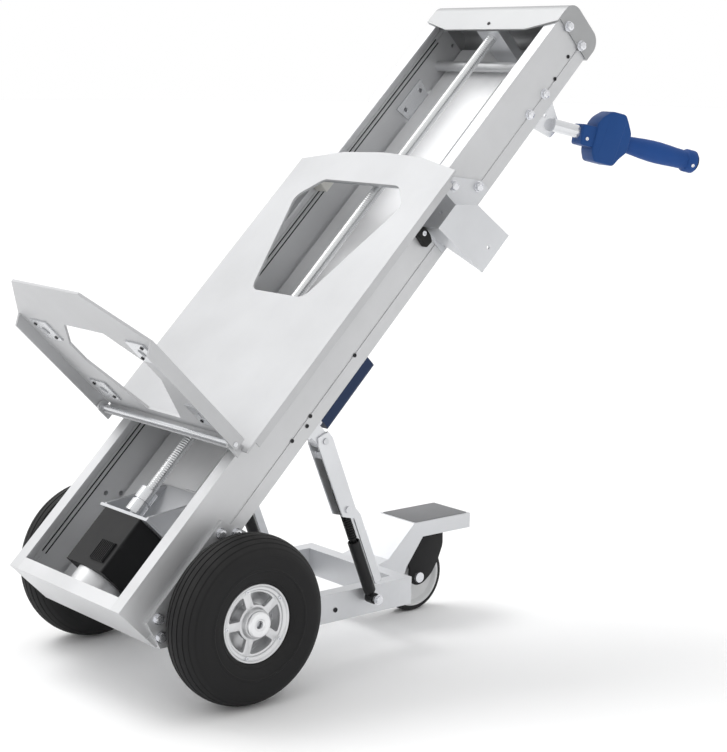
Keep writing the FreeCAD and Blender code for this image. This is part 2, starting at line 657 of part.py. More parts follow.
def carriage_plate():
    """The load plate: an arched sheet with a tapered hand window, hems down both edges and two hinge ears."""
    body = new_body("carriage_sheet", RAILS)
    profile = sketch(body, "XZ_Plane", CARRIAGE_BACK)
    polygon(profile, [("-carriage_half", "carriage_foot"), ("carriage_half", "carriage_foot"),
                      ("carriage_half", "carriage_shoulder"), ("carriage_half / 2", "carriage_crown - 5"),
                      ("0", "carriage_crown"), ("-carriage_half / 2", "carriage_crown - 5"),
                      ("-carriage_half", "carriage_shoulder")])
    pad(body, profile, "carriage_thick")
    window = sketch(body, "XZ_Plane", CARRIAGE_BACK + " - 1")
    corners = [("-window_foot_half", "window_foot"), ("window_foot_half", "window_foot"),
               ("window_wide_half", "window_wide"), ("window_top_half", "window_top"),
               ("-window_top_half", "window_top"), ("-window_wide_half", "window_wide")]
    polygon(window, corners)
    opening = pocket(body, window, "carriage_thick + 2")
    round_edges(body, opening, corners, "window_round", 1)
    hems = []
    ears = []
    for name, side in SIDES:
        edge = across("carriage_half - 2.5", "carriage_half", side)
        hems.append(block("carriage_hem_" + name, RAILS, edge,
                          (f"-{CARRIAGE_BACK}", f"-({CARRIAGE_BACK} - carriage_hem)"),
                          ("carriage_foot + 20", "carriage_shoulder - 20")))
        low, high = across("ear_place", "ear_place + ear_thick", side)
        ear = new_body("ear_" + name, RAILS)
        outline = sketch(ear, "YZ_Plane", low)
        tip = "toe_pivot_depth + ear_round"
        polygon(outline, [(f"-{CARRIAGE_BACK}", "toe_pivot_along - ear_round"),
                          (f"-{CARRIAGE_BACK}", "toe_pivot_along + ear_round"),
                          (f"-({tip})", "toe_pivot_along + ear_round"),
                          (f"-({tip})", "toe_pivot_along - ear_round")])
        circle(outline, "-toe_pivot_depth", "toe_pivot_along", "toe_pin_radius")
        blank = pad(ear, outline, "ear_thick")
        round_edges(ear, blank, [(f"-({tip})", "toe_pivot_along + ear_round"),
                                 (f"-({tip})", "toe_pivot_along - ear_round")],
                    "ear_round - 0.5", 0)
        ears.append(ear)
    return node(fuse("carriage_plate", [body] + hems + ears), "carriage_plate")


def carriage_beams():
    """Two cross beams behind the plate. The lower one carries the nut between the rails."""
    top = block("beam_top", RAILS, ("-beam_half", "beam_half"),
                (f"-{CARRIAGE_BACK}", f"-({CARRIAGE_BACK} - top_beam_depth)"),
                ("top_beam_place", "top_beam_place + top_beam_height"))
    node(top, "carriage_upper_beam")
    low = block("beam_low", RAILS, ("-beam_half", "beam_half"),
                (f"-{CARRIAGE_BACK}", f"-({CARRIAGE_BACK} - beam_depth)"),
                ("beam_place", "beam_place + beam_height"))
    bore = rod("beam_bore", RAILS, "z", (*SCREW_AT, "beam_place - 1"), "nut_radius", "beam_height + 2")
    node(cut("carriage_lower_beam", low, [bore]), "carriage_lower_beam")


def screw_nut():
    """The flanged bronze nut that runs on the lead screw."""
    barrel = rod("nut_barrel", RAILS, "z", (*SCREW_AT, "beam_place"), "nut_radius", "nut_length")
    flange = rod("nut_flange", RAILS, "z", (*SCREW_AT, "beam_place - nut_flange_thick"),
                 "nut_flange_radius", "nut_flange_thick")
    bore = rod("nut_bore", RAILS, "z", (*SCREW_AT, "beam_place - nut_flange_thick - 1"),
               "screw_radius + running_gap",
               "nut_length + nut_flange_thick + 2")
    return node(cut("screw_nut", fuse("nut_whole", [barrel, flange]), [bore]), "screw_nut")


def slide_shoes():
    """Four plastic shoes on the ends of the beams that run inside the rails, behind their lips."""
    shoes = []
    face = "rail_front - rail_wall - side_gap"
    for beam, place in (("low", "beam_place + 8"), ("top", "top_beam_place - 8")):
        for name, side in SIDES:
            inner, outer = across("beam_half", WALL_IN + " - side_gap", side)
            shoes.append(block(f"shoe_{beam}_{name}", RAILS, (inner, outer),
                               (f"-({face})", f"-({face} - shoe_depth)"),
                               (place, place + " + shoe_length")))
    group = doc.addObject("Part::Compound", "slide_shoes")
    group.Links = shoes
    return node(group, "slide_shoes")


def toe_pin():
    """The hinge pin through the carriage ears and the toe plate's flanges."""
    return node(rod("toe_hinge_pin", RAILS, "x", ("-toe_half - 1", "-toe_pivot_depth", "toe_pivot_along"),
                    "toe_pin_radius",
                    "2 * toe_half + 2"), "toe_hinge_pin")


TOE_TOP = "(toe_under + toe_thick)"


def toe_plate():
    """The folding toe plate: a sheet with a tapered nose and a large eight-sided opening, flanged down both
    sides and along the hinge."""
    outline = [("-toe_half", "-toe_start"), ("toe_half", "-toe_start"), ("toe_half", "-toe_straight"),
               ("toe_tip_half", "-toe_tip"), ("-toe_tip_half", "-toe_tip"), ("-toe_half", "-toe_straight")]
    half = [("toe_open_start_half", "toe_open_start"), ("toe_open_wide_half", "toe_open_wide"),
            ("toe_open_wide_half", "toe_open_narrow"), ("toe_open_end_half", "toe_open_end")]
    opening = [(x, "-" + depth) for x, depth in half] + [("-" + x, "-" + depth) for x,
                                                         depth in reversed(half)]
    sheet_part = plate("toe_sheet", RAILS, "XY_Plane", "toe_under", "toe_thick", outline, cutouts=[opening])
    parts = [sheet_part, block("toe_hinge_flange", RAILS, ("-(ear_place - 4)", "ear_place - 4"),
                               ("-(toe_start + 2.5)", "-toe_start"), ("toe_under - toe_flange", "toe_under"))]
    tools = []
    for name, side in SIDES:
        low = across("toe_half - toe_flange_wall", "toe_half", side)[0]
        parts.append(plate("toe_flange_" + name, RAILS, "YZ_Plane", low, "toe_flange_wall",
                           [("-toe_start", "toe_under - toe_flange"), ("-toe_start", "toe_under"),
                            ("-toe_straight", "toe_under"),
                            ("-(toe_straight - 10)", "toe_under - toe_flange")]))
        tools.append(block("toe_notch_" + name, RAILS, across("ear_place - 2", "ear_place + ear_thick + 2",
                                                            side),
                           ("-(toe_pivot_depth + 24)", "-toe_start + 1"),
                           ("toe_under - 1", TOE_TOP + " + 1")))
    tools.append(rod("toe_pin_bore", RAILS, "x", ("-toe_half - 1", "-toe_pivot_depth", "toe_pivot_along"),
                     "toe_pin_radius + running_gap", "2 * toe_half + 2"))
    return node(cut("toe_plate", fuse("toe_whole", parts), tools), "toe_plate")


PADS = [(side, start) for side in (-1, 1) for start in ("near_pad_start", "far_pad_start")]


def toe_pads():
    """Four small corner plates screwed under the toe plate, each with a round hole."""
    pads = []
    for number, (side, start) in enumerate(PADS):
        inner, outer = across("pad_inner", "pad_inner + pad_width", side)
        middle = f"{side} * (pad_inner + pad_width / 2)"
        pads.append(plate(f"toe_pad_{number}", RAILS, "XY_Plane", "toe_under - pad_thick", "pad_thick",
                          [(inner, f"-({start})"), (inner, f"-({start} + pad_length)"),
                           (outer, f"-({start} + pad_length)"),
                           (outer, f"-({start})")],
                          holes=[(middle, f"-({start} + pad_length / 2)", "pad_hole")]))
    group = doc.addObject("Part::Compound", "toe_pads")
    group.Links = pads
    return node(group, "toe_pads")


carriage_plate()
carriage_beams()
screw_nut()
slide_shoes()
toe_pin()
toe_plate()
toe_pads()


# ---------------------------------------------------------------- castor base

def base_arm(name, side):
    """A base arm: a bar with a bored lug on the axle and a welded stud for the foot of the stay."""
    low = across("arm_inner", "arm_inner + arm_width", side)[0]
    lug = "arm_lug"
    outline = [(f"-{lug}", f"tyre_radius - {lug} / 2"), (f"-{lug}", f"tyre_radius + {lug} / 2"),
               (f"-{lug} / 2", f"tyre_radius + {lug}"), (f"{lug} / 2", f"tyre_radius + {lug}"),
               (f"2.4 * {lug}", "arm_top"), ("arm_end", "arm_top"), ("arm_end", "arm_bottom"),
               (f"1.5 * {lug}", "arm_bottom"), (f"-{lug} / 2", f"tyre_radius - {lug}")]
    bar = plate("arm_" + name, FLOOR, "YZ_Plane", low, "arm_width", outline,
                holes=[("0", "tyre_radius", "axle_radius + running_gap")])
    stud_low, stud_high = across("arm_inner + arm_width - 2",
                                 "stay_across + stay_side_gap + stay_tube_radius + 6", side)
    stud = rod("stay_stud_" + name, FLOOR, "x", (stud_low, STAY_FOOT[0], STAY_FOOT[1]), "stay_pin_radius",
               f"({stud_high}) - ({stud_low})")
    return node(fuse("base_arm_" + name, [bar, stud]), name + "_base_arm")


STAY_FOOT = ("stay_radius * cos(stay_foot_angle)", "tyre_radius - stay_radius * sin(stay_foot_angle)")


def cross_member():
    """The bar across the ends of the two arms."""
    reach = "arm_inner + arm_width"
    return node(block("base_cross_member", FLOOR, ("-(" + reach + ")", reach),
                      ("arm_end", "arm_end + member_depth"),
                      ("arm_bottom", "arm_top")), "base_cross_member")


def foot_bracket():
    """A folded bracket behind the cross member: a sloping riser, a flat foot pedal and a side skirt on each
    edge. The castor hangs under the pedal."""
    start = "arm_end + member_depth"
    under = "foot_height - foot_wall"
    top = block("foot_pedal", FLOOR, ("-foot_half", "foot_half"), ("foot_start", "foot_end"),
                (under, "foot_height"))
    riser = plate("foot_riser", FLOOR, "YZ_Plane", "-foot_half", "2 * foot_half",
                  [(start, "arm_top - foot_wall"), (start, "arm_top"), ("foot_start - 58", "arm_top + 6"),
                   ("foot_start", "foot_height"), ("foot_start + 4", under),
                   ("foot_start - 56", "arm_top + 2")])
    skirts = []
    for name, side in SIDES:
        low = across("foot_half - foot_wall", "foot_half", side)[0]
        skirts.append(plate("foot_skirt_" + name, FLOOR, "YZ_Plane", low, "foot_wall",
                            [(start, "arm_bottom"), (start, "arm_top"), ("foot_start - 58", "arm_top + 6"),
                             ("foot_start", "foot_height"), ("foot_end", "foot_height"),
                             ("foot_end", "foot_height - foot_skirt"),
                             ("foot_start + 20", "foot_height - foot_skirt"),
                             ("riser_rear + 14", "arm_top - 14"), ("riser_rear", "arm_bottom")]))
    hole = rod("foot_kingpin_hole", FLOOR, "z", ("0", "castor_swivel", under + " - 1"),
               "kingpin_radius / 2", "foot_wall + 2")
    return node(cut("foot_pedal_bracket", fuse("foot_whole", [top, riser] + skirts), [hole]),
                "foot_pedal_bracket")


def castor_fork():
    """The swivelling fork: a crown with a race and king pin above it, and two leaf-shaped legs."""
    crown_top = "fork_crown + fork_wall"
    leg_in = "castor_width / 2 + fork_gap"
    leg_out = leg_in + " + fork_wall"
    axle_y = "castor_swivel - castor_trail"
    crown = block("fork_crown_plate", FLOOR, ("-(" + leg_out + ")", leg_out),
                  ("castor_swivel - 26", "castor_swivel + 28"),
                  ("fork_crown", crown_top))
    race = rod("fork_race", FLOOR, "z", ("0", "castor_swivel", crown_top), "race_radius",
               f"foot_height - foot_wall - side_gap - ({crown_top})")
    pin = rod("fork_kingpin", FLOOR, "z", ("0", "castor_swivel", crown_top),
              "kingpin_radius / 2 - running_gap",
              f"foot_height - ({crown_top})")
    legs = []
    for name, side in SIDES:
        low = across(leg_in, leg_out, side)[0]
        lug = "fork_lug"
        legs.append(plate("fork_leg_" + name, FLOOR, "YZ_Plane", low, "fork_wall",
                          [(f"{axle_y} - {lug} * 0.5", f"castor_radius - {lug} * 0.85"),
                           (f"{axle_y} - {lug}", "castor_radius"),
                           (f"{axle_y} - {lug} * 0.9", f"castor_radius + {lug} * 0.9"),
                           ("castor_swivel - 26", "fork_crown - 12"), ("castor_swivel - 18", crown_top),
                           ("castor_swivel + 28", crown_top), ("castor_swivel + 26", "fork_crown - 36"),
                           (f"{axle_y} + {lug} * 0.8", f"castor_radius - {lug} * 0.6")],
                          holes=[(axle_y, "castor_radius", "castor_bore")]))
    return node(fuse("castor_fork", [crown, race, pin] + legs), "castor_fork")


def castor_wheel():
    """A rubber tread on a light disc core, and the bolt that it turns on."""
    base = frame(FLOOR, y="castor_swivel - castor_trail", z="castor_radius")
    half = "castor_width / 2"
    core_radius = "castor_radius - castor_tread"
    tread = new_body("castor_tread", base)
    profile = sketch(tread, "XY_Plane")
    polygon(profile, [("-" + half, core_radius), ("-" + half, "castor_radius"), (half, "castor_radius"),
                      (half, core_radius)])
    turn = tread.newObject("PartDesign::Revolution", "castor_tread_turn")
    turn.Profile = profile
    turn.ReferenceAxis = (profile, ["H_Axis"])
    turn.Angle = 360
    doc.recompute()
    names = [f"Edge{i}" for i, edge in enumerate(turn.Shape.Edges, start=1)
             if hasattr(edge.Curve, "Radius") and abs(edge.Curve.Radius - value("castor_radius")) < 1e-6]
    crown = tread.newObject("PartDesign::Fillet", "castor_tread_round")
    crown.Base = (turn, names)
    crown.setExpression("Radius", cells("castor_tread - 2"))
    node(tread, "castor_tyre")
    node(turned("castor_core_body", base, [
        ("-" + half, "castor_bore + running_gap"), ("-" + half, "castor_bore + 8"),
                                           ("-" + half + " + 7", "castor_bore + 10"),
        ("-" + half + " + 7", core_radius + " - 7"), ("-" + half, core_radius + " - 4"),
                                           ("-" + half, core_radius),
        (half, core_radius), (half, core_radius + " - 4"), (half + " - 7", core_radius + " - 7"),
        (half + " - 7", "castor_bore + 10"), (half, "castor_bore + 8"),
                                           (half, "castor_bore + running_gap")]), "castor_core")
    out = half + " + fork_gap + fork_wall"
    shank = rod("castor_shank", base, "x", (f"-({out})", "0", "0"), "castor_bore", f"2 * ({out})")
    heads = []
    for name, side in SIDES:
        low, high = across(out, out + " + 5", side)
        heads.append(rod("castor_head_" + name, base, "x", (low, "0", "0"), "castor_bore + 3",
                         f"({high}) - ({low})"))
    node(fuse("castor_bolt", [shank] + heads), "castor_bolt")


for label, direction in SIDES:
    base_arm(label, direction)
cross_member()
foot_bracket()
castor_fork()
castor_wheel()


# ---------------------------------------------------------------- telescopic stays

STAY_MIDDLE = "((90 - lean + stay_top_angle - stay_foot_angle) / 2)"
STAY_SPAN = "(2 * stay_radius * sin((90 - lean + stay_top_angle + stay_foot_angle) / 2))"
STAY_HEAD = ("stay_radius * cos(90 - lean + stay_top_angle)", "stay_radius * sin(90 - lean + stay_top_angle)")
STAY_HEAD_ON_RAIL = ("stay_radius * sin(stay_top_angle)", "stay_radius * cos(stay_top_angle)")
TUBE_SIDE = "(stay_tube_radius + stay_side_gap)"


def stay_frame(side):
    """Origin on the upper pin, +Z down the stay to its foot."""
    return frame(AXLE, f"{side} * stay_across", *STAY_HEAD, turn=f"rotationx({STAY_MIDDLE} - 180)")


def stay_bracket(name, side):
    """The bracket welded to the back of a rail: a flat foot and the lug between the stay's two plates."""
    depth, along = STAY_HEAD_ON_RAIL
    lug = across(f"stay_across - {TUBE_SIDE} + side_gap", f"stay_across + {TUBE_SIDE} - side_gap", side)
    foot = block("stay_foot_" + name, RAILS, across("frame_half - rail_front_lip", "frame_half", side),
                 (f"-{RAIL_BACK}", f"-({RAIL_BACK} - stay_bracket_thick)"),
                 (f"{along} - stay_bracket_height / 2", f"{along} + stay_bracket_height / 2"))
    body = new_body("stay_lug_" + name, RAILS)
    outline = sketch(body, "YZ_Plane", lug[0])
    tip = f"-({depth} - stay_eye_radius - 3)"
    polygon(outline, [(f"-{RAIL_BACK}", f"{along} - 12"), (f"-{RAIL_BACK}", f"{along} + 12"),
                      (tip, f"{along} + 12"),
                      (tip, f"{along} - 12")])
    circle(outline, f"-({depth})", along, "stay_pin_radius")
    blank = pad(body, outline, f"({lug[1]}) - ({lug[0]})")
    round_edges(body, blank, [(tip, f"{along} + 12"), (tip, f"{along} - 12")], "11.5", 0)
    return node(fuse("stay_bracket_" + name, [foot, body]), name + "_stay_bracket")


def stay_pins():
    """The two upper pivot pins, one through each bracket lug."""
    depth, along = STAY_HEAD_ON_RAIL
    length = f"2 * ({TUBE_SIDE} + stay_plate + 2)"
    radius = value("stay_pin_radius")
    pin = Part.makeCylinder(radius, value(length), FreeCAD.Vector(0, 0, -value(length) / 2))
    spots = [(f"{side} * stay_across", f"-({depth})", along, RIGHTWARDS) for _, side in SIDES]
    return fasteners("stay_top_pins", RAILS, spots, pin)


def stay_fork(name, side):
    """The upper half of a stay: two plates, wide down to the knee stud and narrow below it, joined by a
    spacer. They guide the tube between them."""
    base = stay_frame(side)
    half, knee = "stay_plate_half", "stay_wide_length"
    outline = [("-" + half, "0"), (f"-{half} * 0.7", f"-{half} * 0.8"), (f"{half} * 0.7", f"-{half} * 0.8"),
               (half, "0"),
               (half + " - 2", knee + " - 6"), ("-stay_guide_near", knee + " + 8"),
               ("-stay_guide_near", "stay_guide_length"),
               ("-stay_guide_far", "stay_guide_length"), ("-stay_guide_far", knee + " + 8"),
               ("-" + half, knee + " - 6")]
    parts = []
    for label, sign in (("in", -1), ("out", 1)):
        low, high = across(TUBE_SIDE, TUBE_SIDE + " + stay_plate", sign)
        parts.append(plate(f"stay_plate_{label}_{name}", base, "YZ_Plane", low, "stay_plate", outline,
                           holes=[("0", "0", "stay_pin_radius + running_gap")]))
        low, high = across(TUBE_SIDE + " + stay_plate", TUBE_SIDE + " + stay_plate + 3", sign)
        parts.append(rod(f"stay_stud_{label}_{name}", base, "x", (low, "0", knee + " - 12"), "5.5",
                         f"({high}) - ({low})"))
    parts.append(block("stay_spacer_" + name, base, ("-" + TUBE_SIDE, TUBE_SIDE), ("-8", "8"), ("18", "30")))
    return node(fuse("stay_fork_" + name, parts), name + "_stay_fork")


def stay_tube(name, side):
    """The lower half of a stay: the black tube that slides up between the plates, with an eye on its foot."""
    base = stay_frame(side)
    tube = rod("stay_barrel_" + name, base, "z", ("0", "0", "stay_tube_start"), "stay_tube_radius",
               STAY_SPAN + " - stay_eye_radius + 2 - stay_tube_start")
    eye = rod("stay_eye_" + name, base, "x", ("-8", "0", STAY_SPAN), "stay_eye_radius", "16")
    bore = rod("stay_eye_bore_" + name, base, "x", ("-12", "0", STAY_SPAN), "stay_pin_radius + running_gap",
               "24")
    return node(cut("stay_tube_" + name, fuse("stay_tube_whole_" + name, [tube, eye]), [bore]), name
                + "_stay_tube")


for label, direction in SIDES:
    stay_bracket(label, direction)
    stay_fork(label, direction)
    stay_tube(label, direction)
stay_pins()


# ---------------------------------------------------------------- handles

def handle_frame(side):
    """Origin where the tube leaves its plate, +Z out along the grip, +Y downwards."""
    return frame(RAILS, f"{side} * handle_across", "-handle_depth", "handle_along",
                 turn=f"rotationx(lean) * rotationz({-side} * splay) * rotationx(-(90 + droop))")


def handle_tube(name, side):
    """The handle's tube with the triangular plate that is bolted inside the rail welded to its end."""
    low = across(WALL_IN + " - bracket_plate", WALL_IN, side)[0]
    outline = [("-(groove_place + 14)", "handle_along + 34"), ("-(groove_place + 14)", "handle_along - 42"),
               (f"-{RAIL_BACK}", "handle_along - 34"), ("-(handle_depth - 14)", "handle_along - 16"),
               ("-(handle_depth - 18)", "handle_along + 12"), (f"-{RAIL_BACK}", "handle_along + 28")]
    holes = [(f"-({depth})", along, "bolt_radius + running_gap") for along, depth in HANDLE_BOLTS]
    holes.append(("-(handle_depth + 22)", "handle_along", "3.5"))
    web = plate("handle_plate_" + name, RAILS, "YZ_Plane", low, "bracket_plate", outline, holes)
    tube = rod("handle_pipe_" + name, handle_frame(side), "z", ("0", "0", "0"), "tube_radius", "tube_length")
    return node(fuse("handle_tube_" + name, [web, tube]), name + "_handle_tube")


def handle_pod(name, side):
    """The moulded control pod round the tube: a clamp collar in front and a lobed body behind it."""
    base = handle_frame(side)
    body = new_body("pod_body_" + name, base)
    profile = sketch(body, "YZ_Plane", "-pod_half")
    polygon(profile, [
        ("-collar_top", "pod_start"), ("-collar_top - 2", "pod_start + 25"),
                      ("-pod_top + 13", "pod_start + 31"),
        ("-pod_top", "pod_start + 48"), ("-pod_top", "pod_end - 19"), ("-pod_top + 19", "pod_end - 7"),
        ("-grip_swell", "pod_end"), ("grip_neck - 1", "pod_end"), ("pod_bottom - 13", "pod_end - 14"),
        ("pod_bottom", "pod_end - 20"), ("pod_bottom", "pod_start + 31"), ("collar_bottom", "pod_start + 25"),
        ("collar_bottom", "pod_start + 3")])
    pad(body, profile, "2 * pod_half")
    bore = rod("pod_bore_" + name, base, "z", ("0", "0", "pod_start - 1"), "tube_radius + running_gap",
               "pod_end - pod_start + 2")
    tools = [bore]
    if side > 0:
        tools.append(block("rocker_well", base, ("-pod_half - 1", "-pod_half + rocker_sink"),
                           ("-pod_top + 8", "-pod_top + 8 + 2 * rocker_half + 1"),
                           ("rocker_place - rocker_length / 2 - 1", "rocker_place + rocker_length / 2 + 1")))
    return node(cut("handle_pod_" + name, body, tools), name + "_handle_pod")


def grip(name, side):
    """The soft hand grip: swollen in the palm, thinner at the tail, with a ring at its end."""
    base = handle_frame(side)
    body = new_body("grip_body_" + name, base)
    profile = sketch(body, "XZ_Plane")
    polygon(profile, [("tube_radius + running_gap", "pod_end"), ("grip_neck", "pod_end"),
                      ("grip_neck - 1", "pod_end + 14"),
                      ("grip_swell", "pod_end + 60"), ("grip_tail", "grip_end - 20"),
                      ("grip_ring", "grip_end - 17"),
                      ("grip_ring", "grip_end"), ("tube_radius + running_gap", "grip_end")])
    turn = body.newObject("PartDesign::Revolution", "grip_turn_" + name)
    turn.Profile = profile
    turn.ReferenceAxis = (profile, ["V_Axis"])
    turn.Angle = 360
    return node(body, name + "_grip")


def grip_plug(name, side):
    """The black plug in the end of the grip."""
    return node(rod("grip_plug_" + name, handle_frame(side), "z", ("0", "0", "grip_end"), "plug_radius",
                    "plug_length"),
                name + "_grip_plug")


for label, direction in SIDES:
    handle_tube(label, direction)
    handle_pod(label, direction)
    grip(label, direction)
    grip_plug(label, direction)


def rocker():
    """The raise-and-lower rocker in its well on the inner face of the right-hand pod."""
    base = frame(handle_frame(1), "-pod_half + rocker_sink - 3", "-pod_top + 8.5 + rocker_half",
                 "rocker_place")
    body = new_body("rocker_body", base)
    profile = sketch(body, "XZ_Plane", "-rocker_half")
    polygon(profile, [("-1.5", "-rocker_length / 2 + 1"), ("-4 - rocker_rise", "-rocker_length / 2 + 1"),
                      ("-1 - rocker_rise", "0"),
                      ("-4 - rocker_rise", "rocker_length / 2 - 1"), ("-1.5", "rocker_length / 2 - 1"),
                      ("1.5", "0")])
    pad(body, profile, "2 * rocker_half")
    return node(body, "lift_rocker")


def battery_pack():
    """The battery pack strapped flat to the backs of the rails."""
    body = new_body("battery_box", RAILS)
    profile = sketch(body, "XY_Plane", "battery_start")
    near, far = f"-{RAIL_BACK}", f"-({RAIL_BACK} - battery_thick)"
    polygon(profile, [("-battery_half", near), ("battery_half", near), ("battery_half", far),
                      ("-battery_half", far)])
    box = pad(body, profile, "battery_length")
    round_edges(body, box, [("-battery_half", far), ("battery_half", far)], "battery_round", 2)
    return node(body, "battery_pack")


def side_bracket():
    """The folded bracket on the right rail: a bolted flange, a tapered front wall and an outer wall that
    reaches behind the rail, with a sloped gusset below. It is open at its back and top."""
    inner = "frame_half"
    outer = "frame_half + side_reach"
    top = "side_start + side_height"
    holes = [(f"-({depth})", along, "bolt_radius + running_gap") for along, depth in SIDE_BOLTS]
    flange = plate("side_flange", RAILS, "YZ_Plane", inner, "side_wall", [
        ("-side_front", "side_start"), ("-side_front", top + " - 18"), ("-side_front - 9", top + " - 10"),
        ("-side_front - 9", top + " + 10"), ("-side_flange_back - 20", "side_flange_top"),
        ("-side_flange_back", "side_flange_top"), ("-side_flange_back", "side_start")], holes)
    front = plate("side_front_wall", RAILS, "XZ_Plane", "side_front - side_wall", "side_wall", [
        (inner, "side_start"), (outer, "side_start"), (outer, top + " - 40"), (inner, top + " - 18")],
        [("frame_half + side_reach / 2", "side_start + 32", "side_hole")])
    outside = plate("side_outer_wall", RAILS, "YZ_Plane", outer + " - side_wall", "side_wall", [
        ("-side_front", "side_start"), ("-side_front", top + " - 40"), ("-side_front + 32", top + " - 8"),
        ("-side_back", top + " + 6"), ("-side_back", "side_start + side_slope")],
        [("-side_back - 20", "side_start + side_slope + 36", "side_hole")])
    tilt = "atan(side_slope / (side_front - side_back))"
    shelf = frame(RAILS, "0", "-side_front", "side_start", turn=f"rotationx({tilt})")
    gusset = plate("side_gusset", shelf, "XY_Plane", "0", "side_wall", [
        (inner, "0.5"), (outer + " - 0.5", "0.5"),
        (outer + " - 0.5", "side_front - side_back"), (inner, "30")])
    return node(fuse("side_bracket", [flange, front, outside, gusset]), "side_bracket")


def screws(label, base, spots, radius, height):
    """Round screw heads that sit on a face."""
    head = Part.makeCylinder(value(radius), value(height))
    rim_edges = [edge for edge in head.Edges if edge.Vertexes[0].Point.z > value(height) - 1e-6
                 and hasattr(edge.Curve, "Radius") and len(edge.Vertexes) == 1]
    head = head.makeFillet(value(height) / 4, rim_edges)
    return fasteners(label, base, spots, head)


def hex_bolts():
    """Every hexagon bolt in the rails: the head outside and the shank through the wall."""
    circle_points = [FreeCAD.Vector(value("bolt_head_radius") * math.cos(math.radians(60 * i)),
                                    value("bolt_head_radius") * math.sin(math.radians(60 * i)), 0)
                     for i in range(7)]
    head = Part.Face(Part.makePolygon(circle_points)).extrude(FreeCAD.Vector(0, 0, value("bolt_head_height")))
    shank = Part.makeCylinder(value("bolt_radius"), value("bolt_length"),
                              FreeCAD.Vector(0, 0, -value("bolt_length")))
    bolt = head.fuse(shank).removeSplitter()
    spots = []
    for _, side in SIDES:
        outwards = FreeCAD.Vector(side, 0, 0)
        spots += [(f"{side} * (frame_half + axle_plate_thick)", f"-({depth})", along, outwards) for along,
                  depth in AXLE_BOLTS]
        spots += [(f"{side} * frame_half", f"-({depth})", along, outwards) for along, depth in HANDLE_BOLTS]
        spots += [(f"{side} * (frame_half + side_gap + cap_wall)", f"-({depth})", along, outwards)
                  for along, depth in CAP_BOLTS]
    spots += [("frame_half + side_wall", f"-({depth})", along, RIGHTWARDS) for along, depth in SIDE_BOLTS]
    return fasteners("hex_bolts", RAILS, spots, bolt)


def small_screws():
    """The socket screws of the motor bracket and the screws under the toe plate's corner pads."""
    face = f"-({PANEL_FACE} + bracket_thick)"
    spots = [(f"{side} * (bracket_half - 9)", face, along, LOADWARDS)
             for _, side in SIDES for along in ("motor_top + 23", "motor_top + 81")]
    screws("bracket_screws", RAILS, spots, "socket_head_radius", "socket_head_height")
    spots = [(f"{side} * ({x})", f"-({start} + {step})", "toe_under - pad_thick", FreeCAD.Vector(0, 0, -1))
             for side, start in PADS for x, step in (("pad_inner + 9", "8"),
                                                     ("pad_inner + pad_width - 9", "pad_length - 8"))]
    screws("toe_pad_screws", RAILS, spots, "3", "2")


def clamp_screws():
    """The clamp screws on the outer side of each collar and of each grip's end ring."""
    heads = []
    for name, side in SIDES:
        collar = frame(handle_frame(side), f"{side} * pod_half", "9", "pod_start + 12",
                       turn=f"rotationy({side} * 90)")
        heads.append(rod("collar_clamp_" + name, collar, "z", ("0", "0", "0"), "3", "2"))
        ring = frame(handle_frame(side), z="grip_end - 9",
                     turn=f"rotationz({90 - side * 70}) * rotationy(90)")
        heads.append(rod("ring_clamp_" + name, ring, "z", ("0", "0", "grip_ring"), "3", "2"))
    group = doc.addObject("Part::Compound", "clamp_screws")
    group.Links = heads
    return node(group, "clamp_screws")


rocker()
battery_pack()
side_bracket()
hex_bolts()
small_screws()
clamp_screws()


# ---------------------------------------------------------------- place the whole, check it and write it out

doc.recompute()
middle = sum(f(getattr(item.Shape.BoundBox, edge) for item in NODES) for f,
             edge in ((min, "YMin"), (max, "YMax"))) / 2
sheet.set(CELL["axle_place"], str(-round(middle, 3)))
doc.recompute()

bad = [item.Name for item in doc.Objects if {"Invalid", "Error"} & set(item.State)]
bad += [item.Label for item in NODES if item.Shape.isNull() or not item.Shape.isValid()]
if bad:
    raise RuntimeError("not sound: " + ", ".join(bad))
os.makedirs("parts", exist_ok=True)
for item in NODES:
    item.Shape.exportStep("parts/" + item.Label + ".step")
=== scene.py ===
import bpy
import bmesh
import math
from mathutils import Matrix, Vector


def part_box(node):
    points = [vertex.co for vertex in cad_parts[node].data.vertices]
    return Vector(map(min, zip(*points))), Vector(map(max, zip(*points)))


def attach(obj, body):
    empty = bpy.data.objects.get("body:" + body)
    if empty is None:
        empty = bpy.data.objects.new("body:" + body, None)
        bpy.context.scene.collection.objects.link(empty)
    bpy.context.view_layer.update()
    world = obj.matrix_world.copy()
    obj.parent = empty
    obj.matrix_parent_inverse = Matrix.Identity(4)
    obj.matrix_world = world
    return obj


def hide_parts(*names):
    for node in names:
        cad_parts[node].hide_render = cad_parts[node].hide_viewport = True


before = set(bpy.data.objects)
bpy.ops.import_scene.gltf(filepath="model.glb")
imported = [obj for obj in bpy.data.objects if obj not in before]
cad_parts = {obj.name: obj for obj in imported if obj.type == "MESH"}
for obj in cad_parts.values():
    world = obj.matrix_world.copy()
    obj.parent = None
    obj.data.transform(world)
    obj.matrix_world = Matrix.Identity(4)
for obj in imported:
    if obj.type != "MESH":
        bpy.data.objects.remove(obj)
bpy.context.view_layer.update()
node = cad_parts


# ---------------- the studio
# A pale floor that runs out of sight, a big soft light over the load side's left shoulder, a weaker one
# behind, and a long-lens camera standing off the right-hand front corner.

def put(tree, kind, inputs=None, **settings):
    """A shader node with its settings; an input takes a number, a colour or another node's output."""
    made = tree.nodes.new(kind)
    for name, setting in settings.items():
        setattr(made, name, setting)
    for name, given in (inputs or {}).items():
        if isinstance(given, bpy.types.NodeSocket):
            tree.links.new(given, made.inputs[name])
        else:
            made.inputs[name].default_value = given
    return made


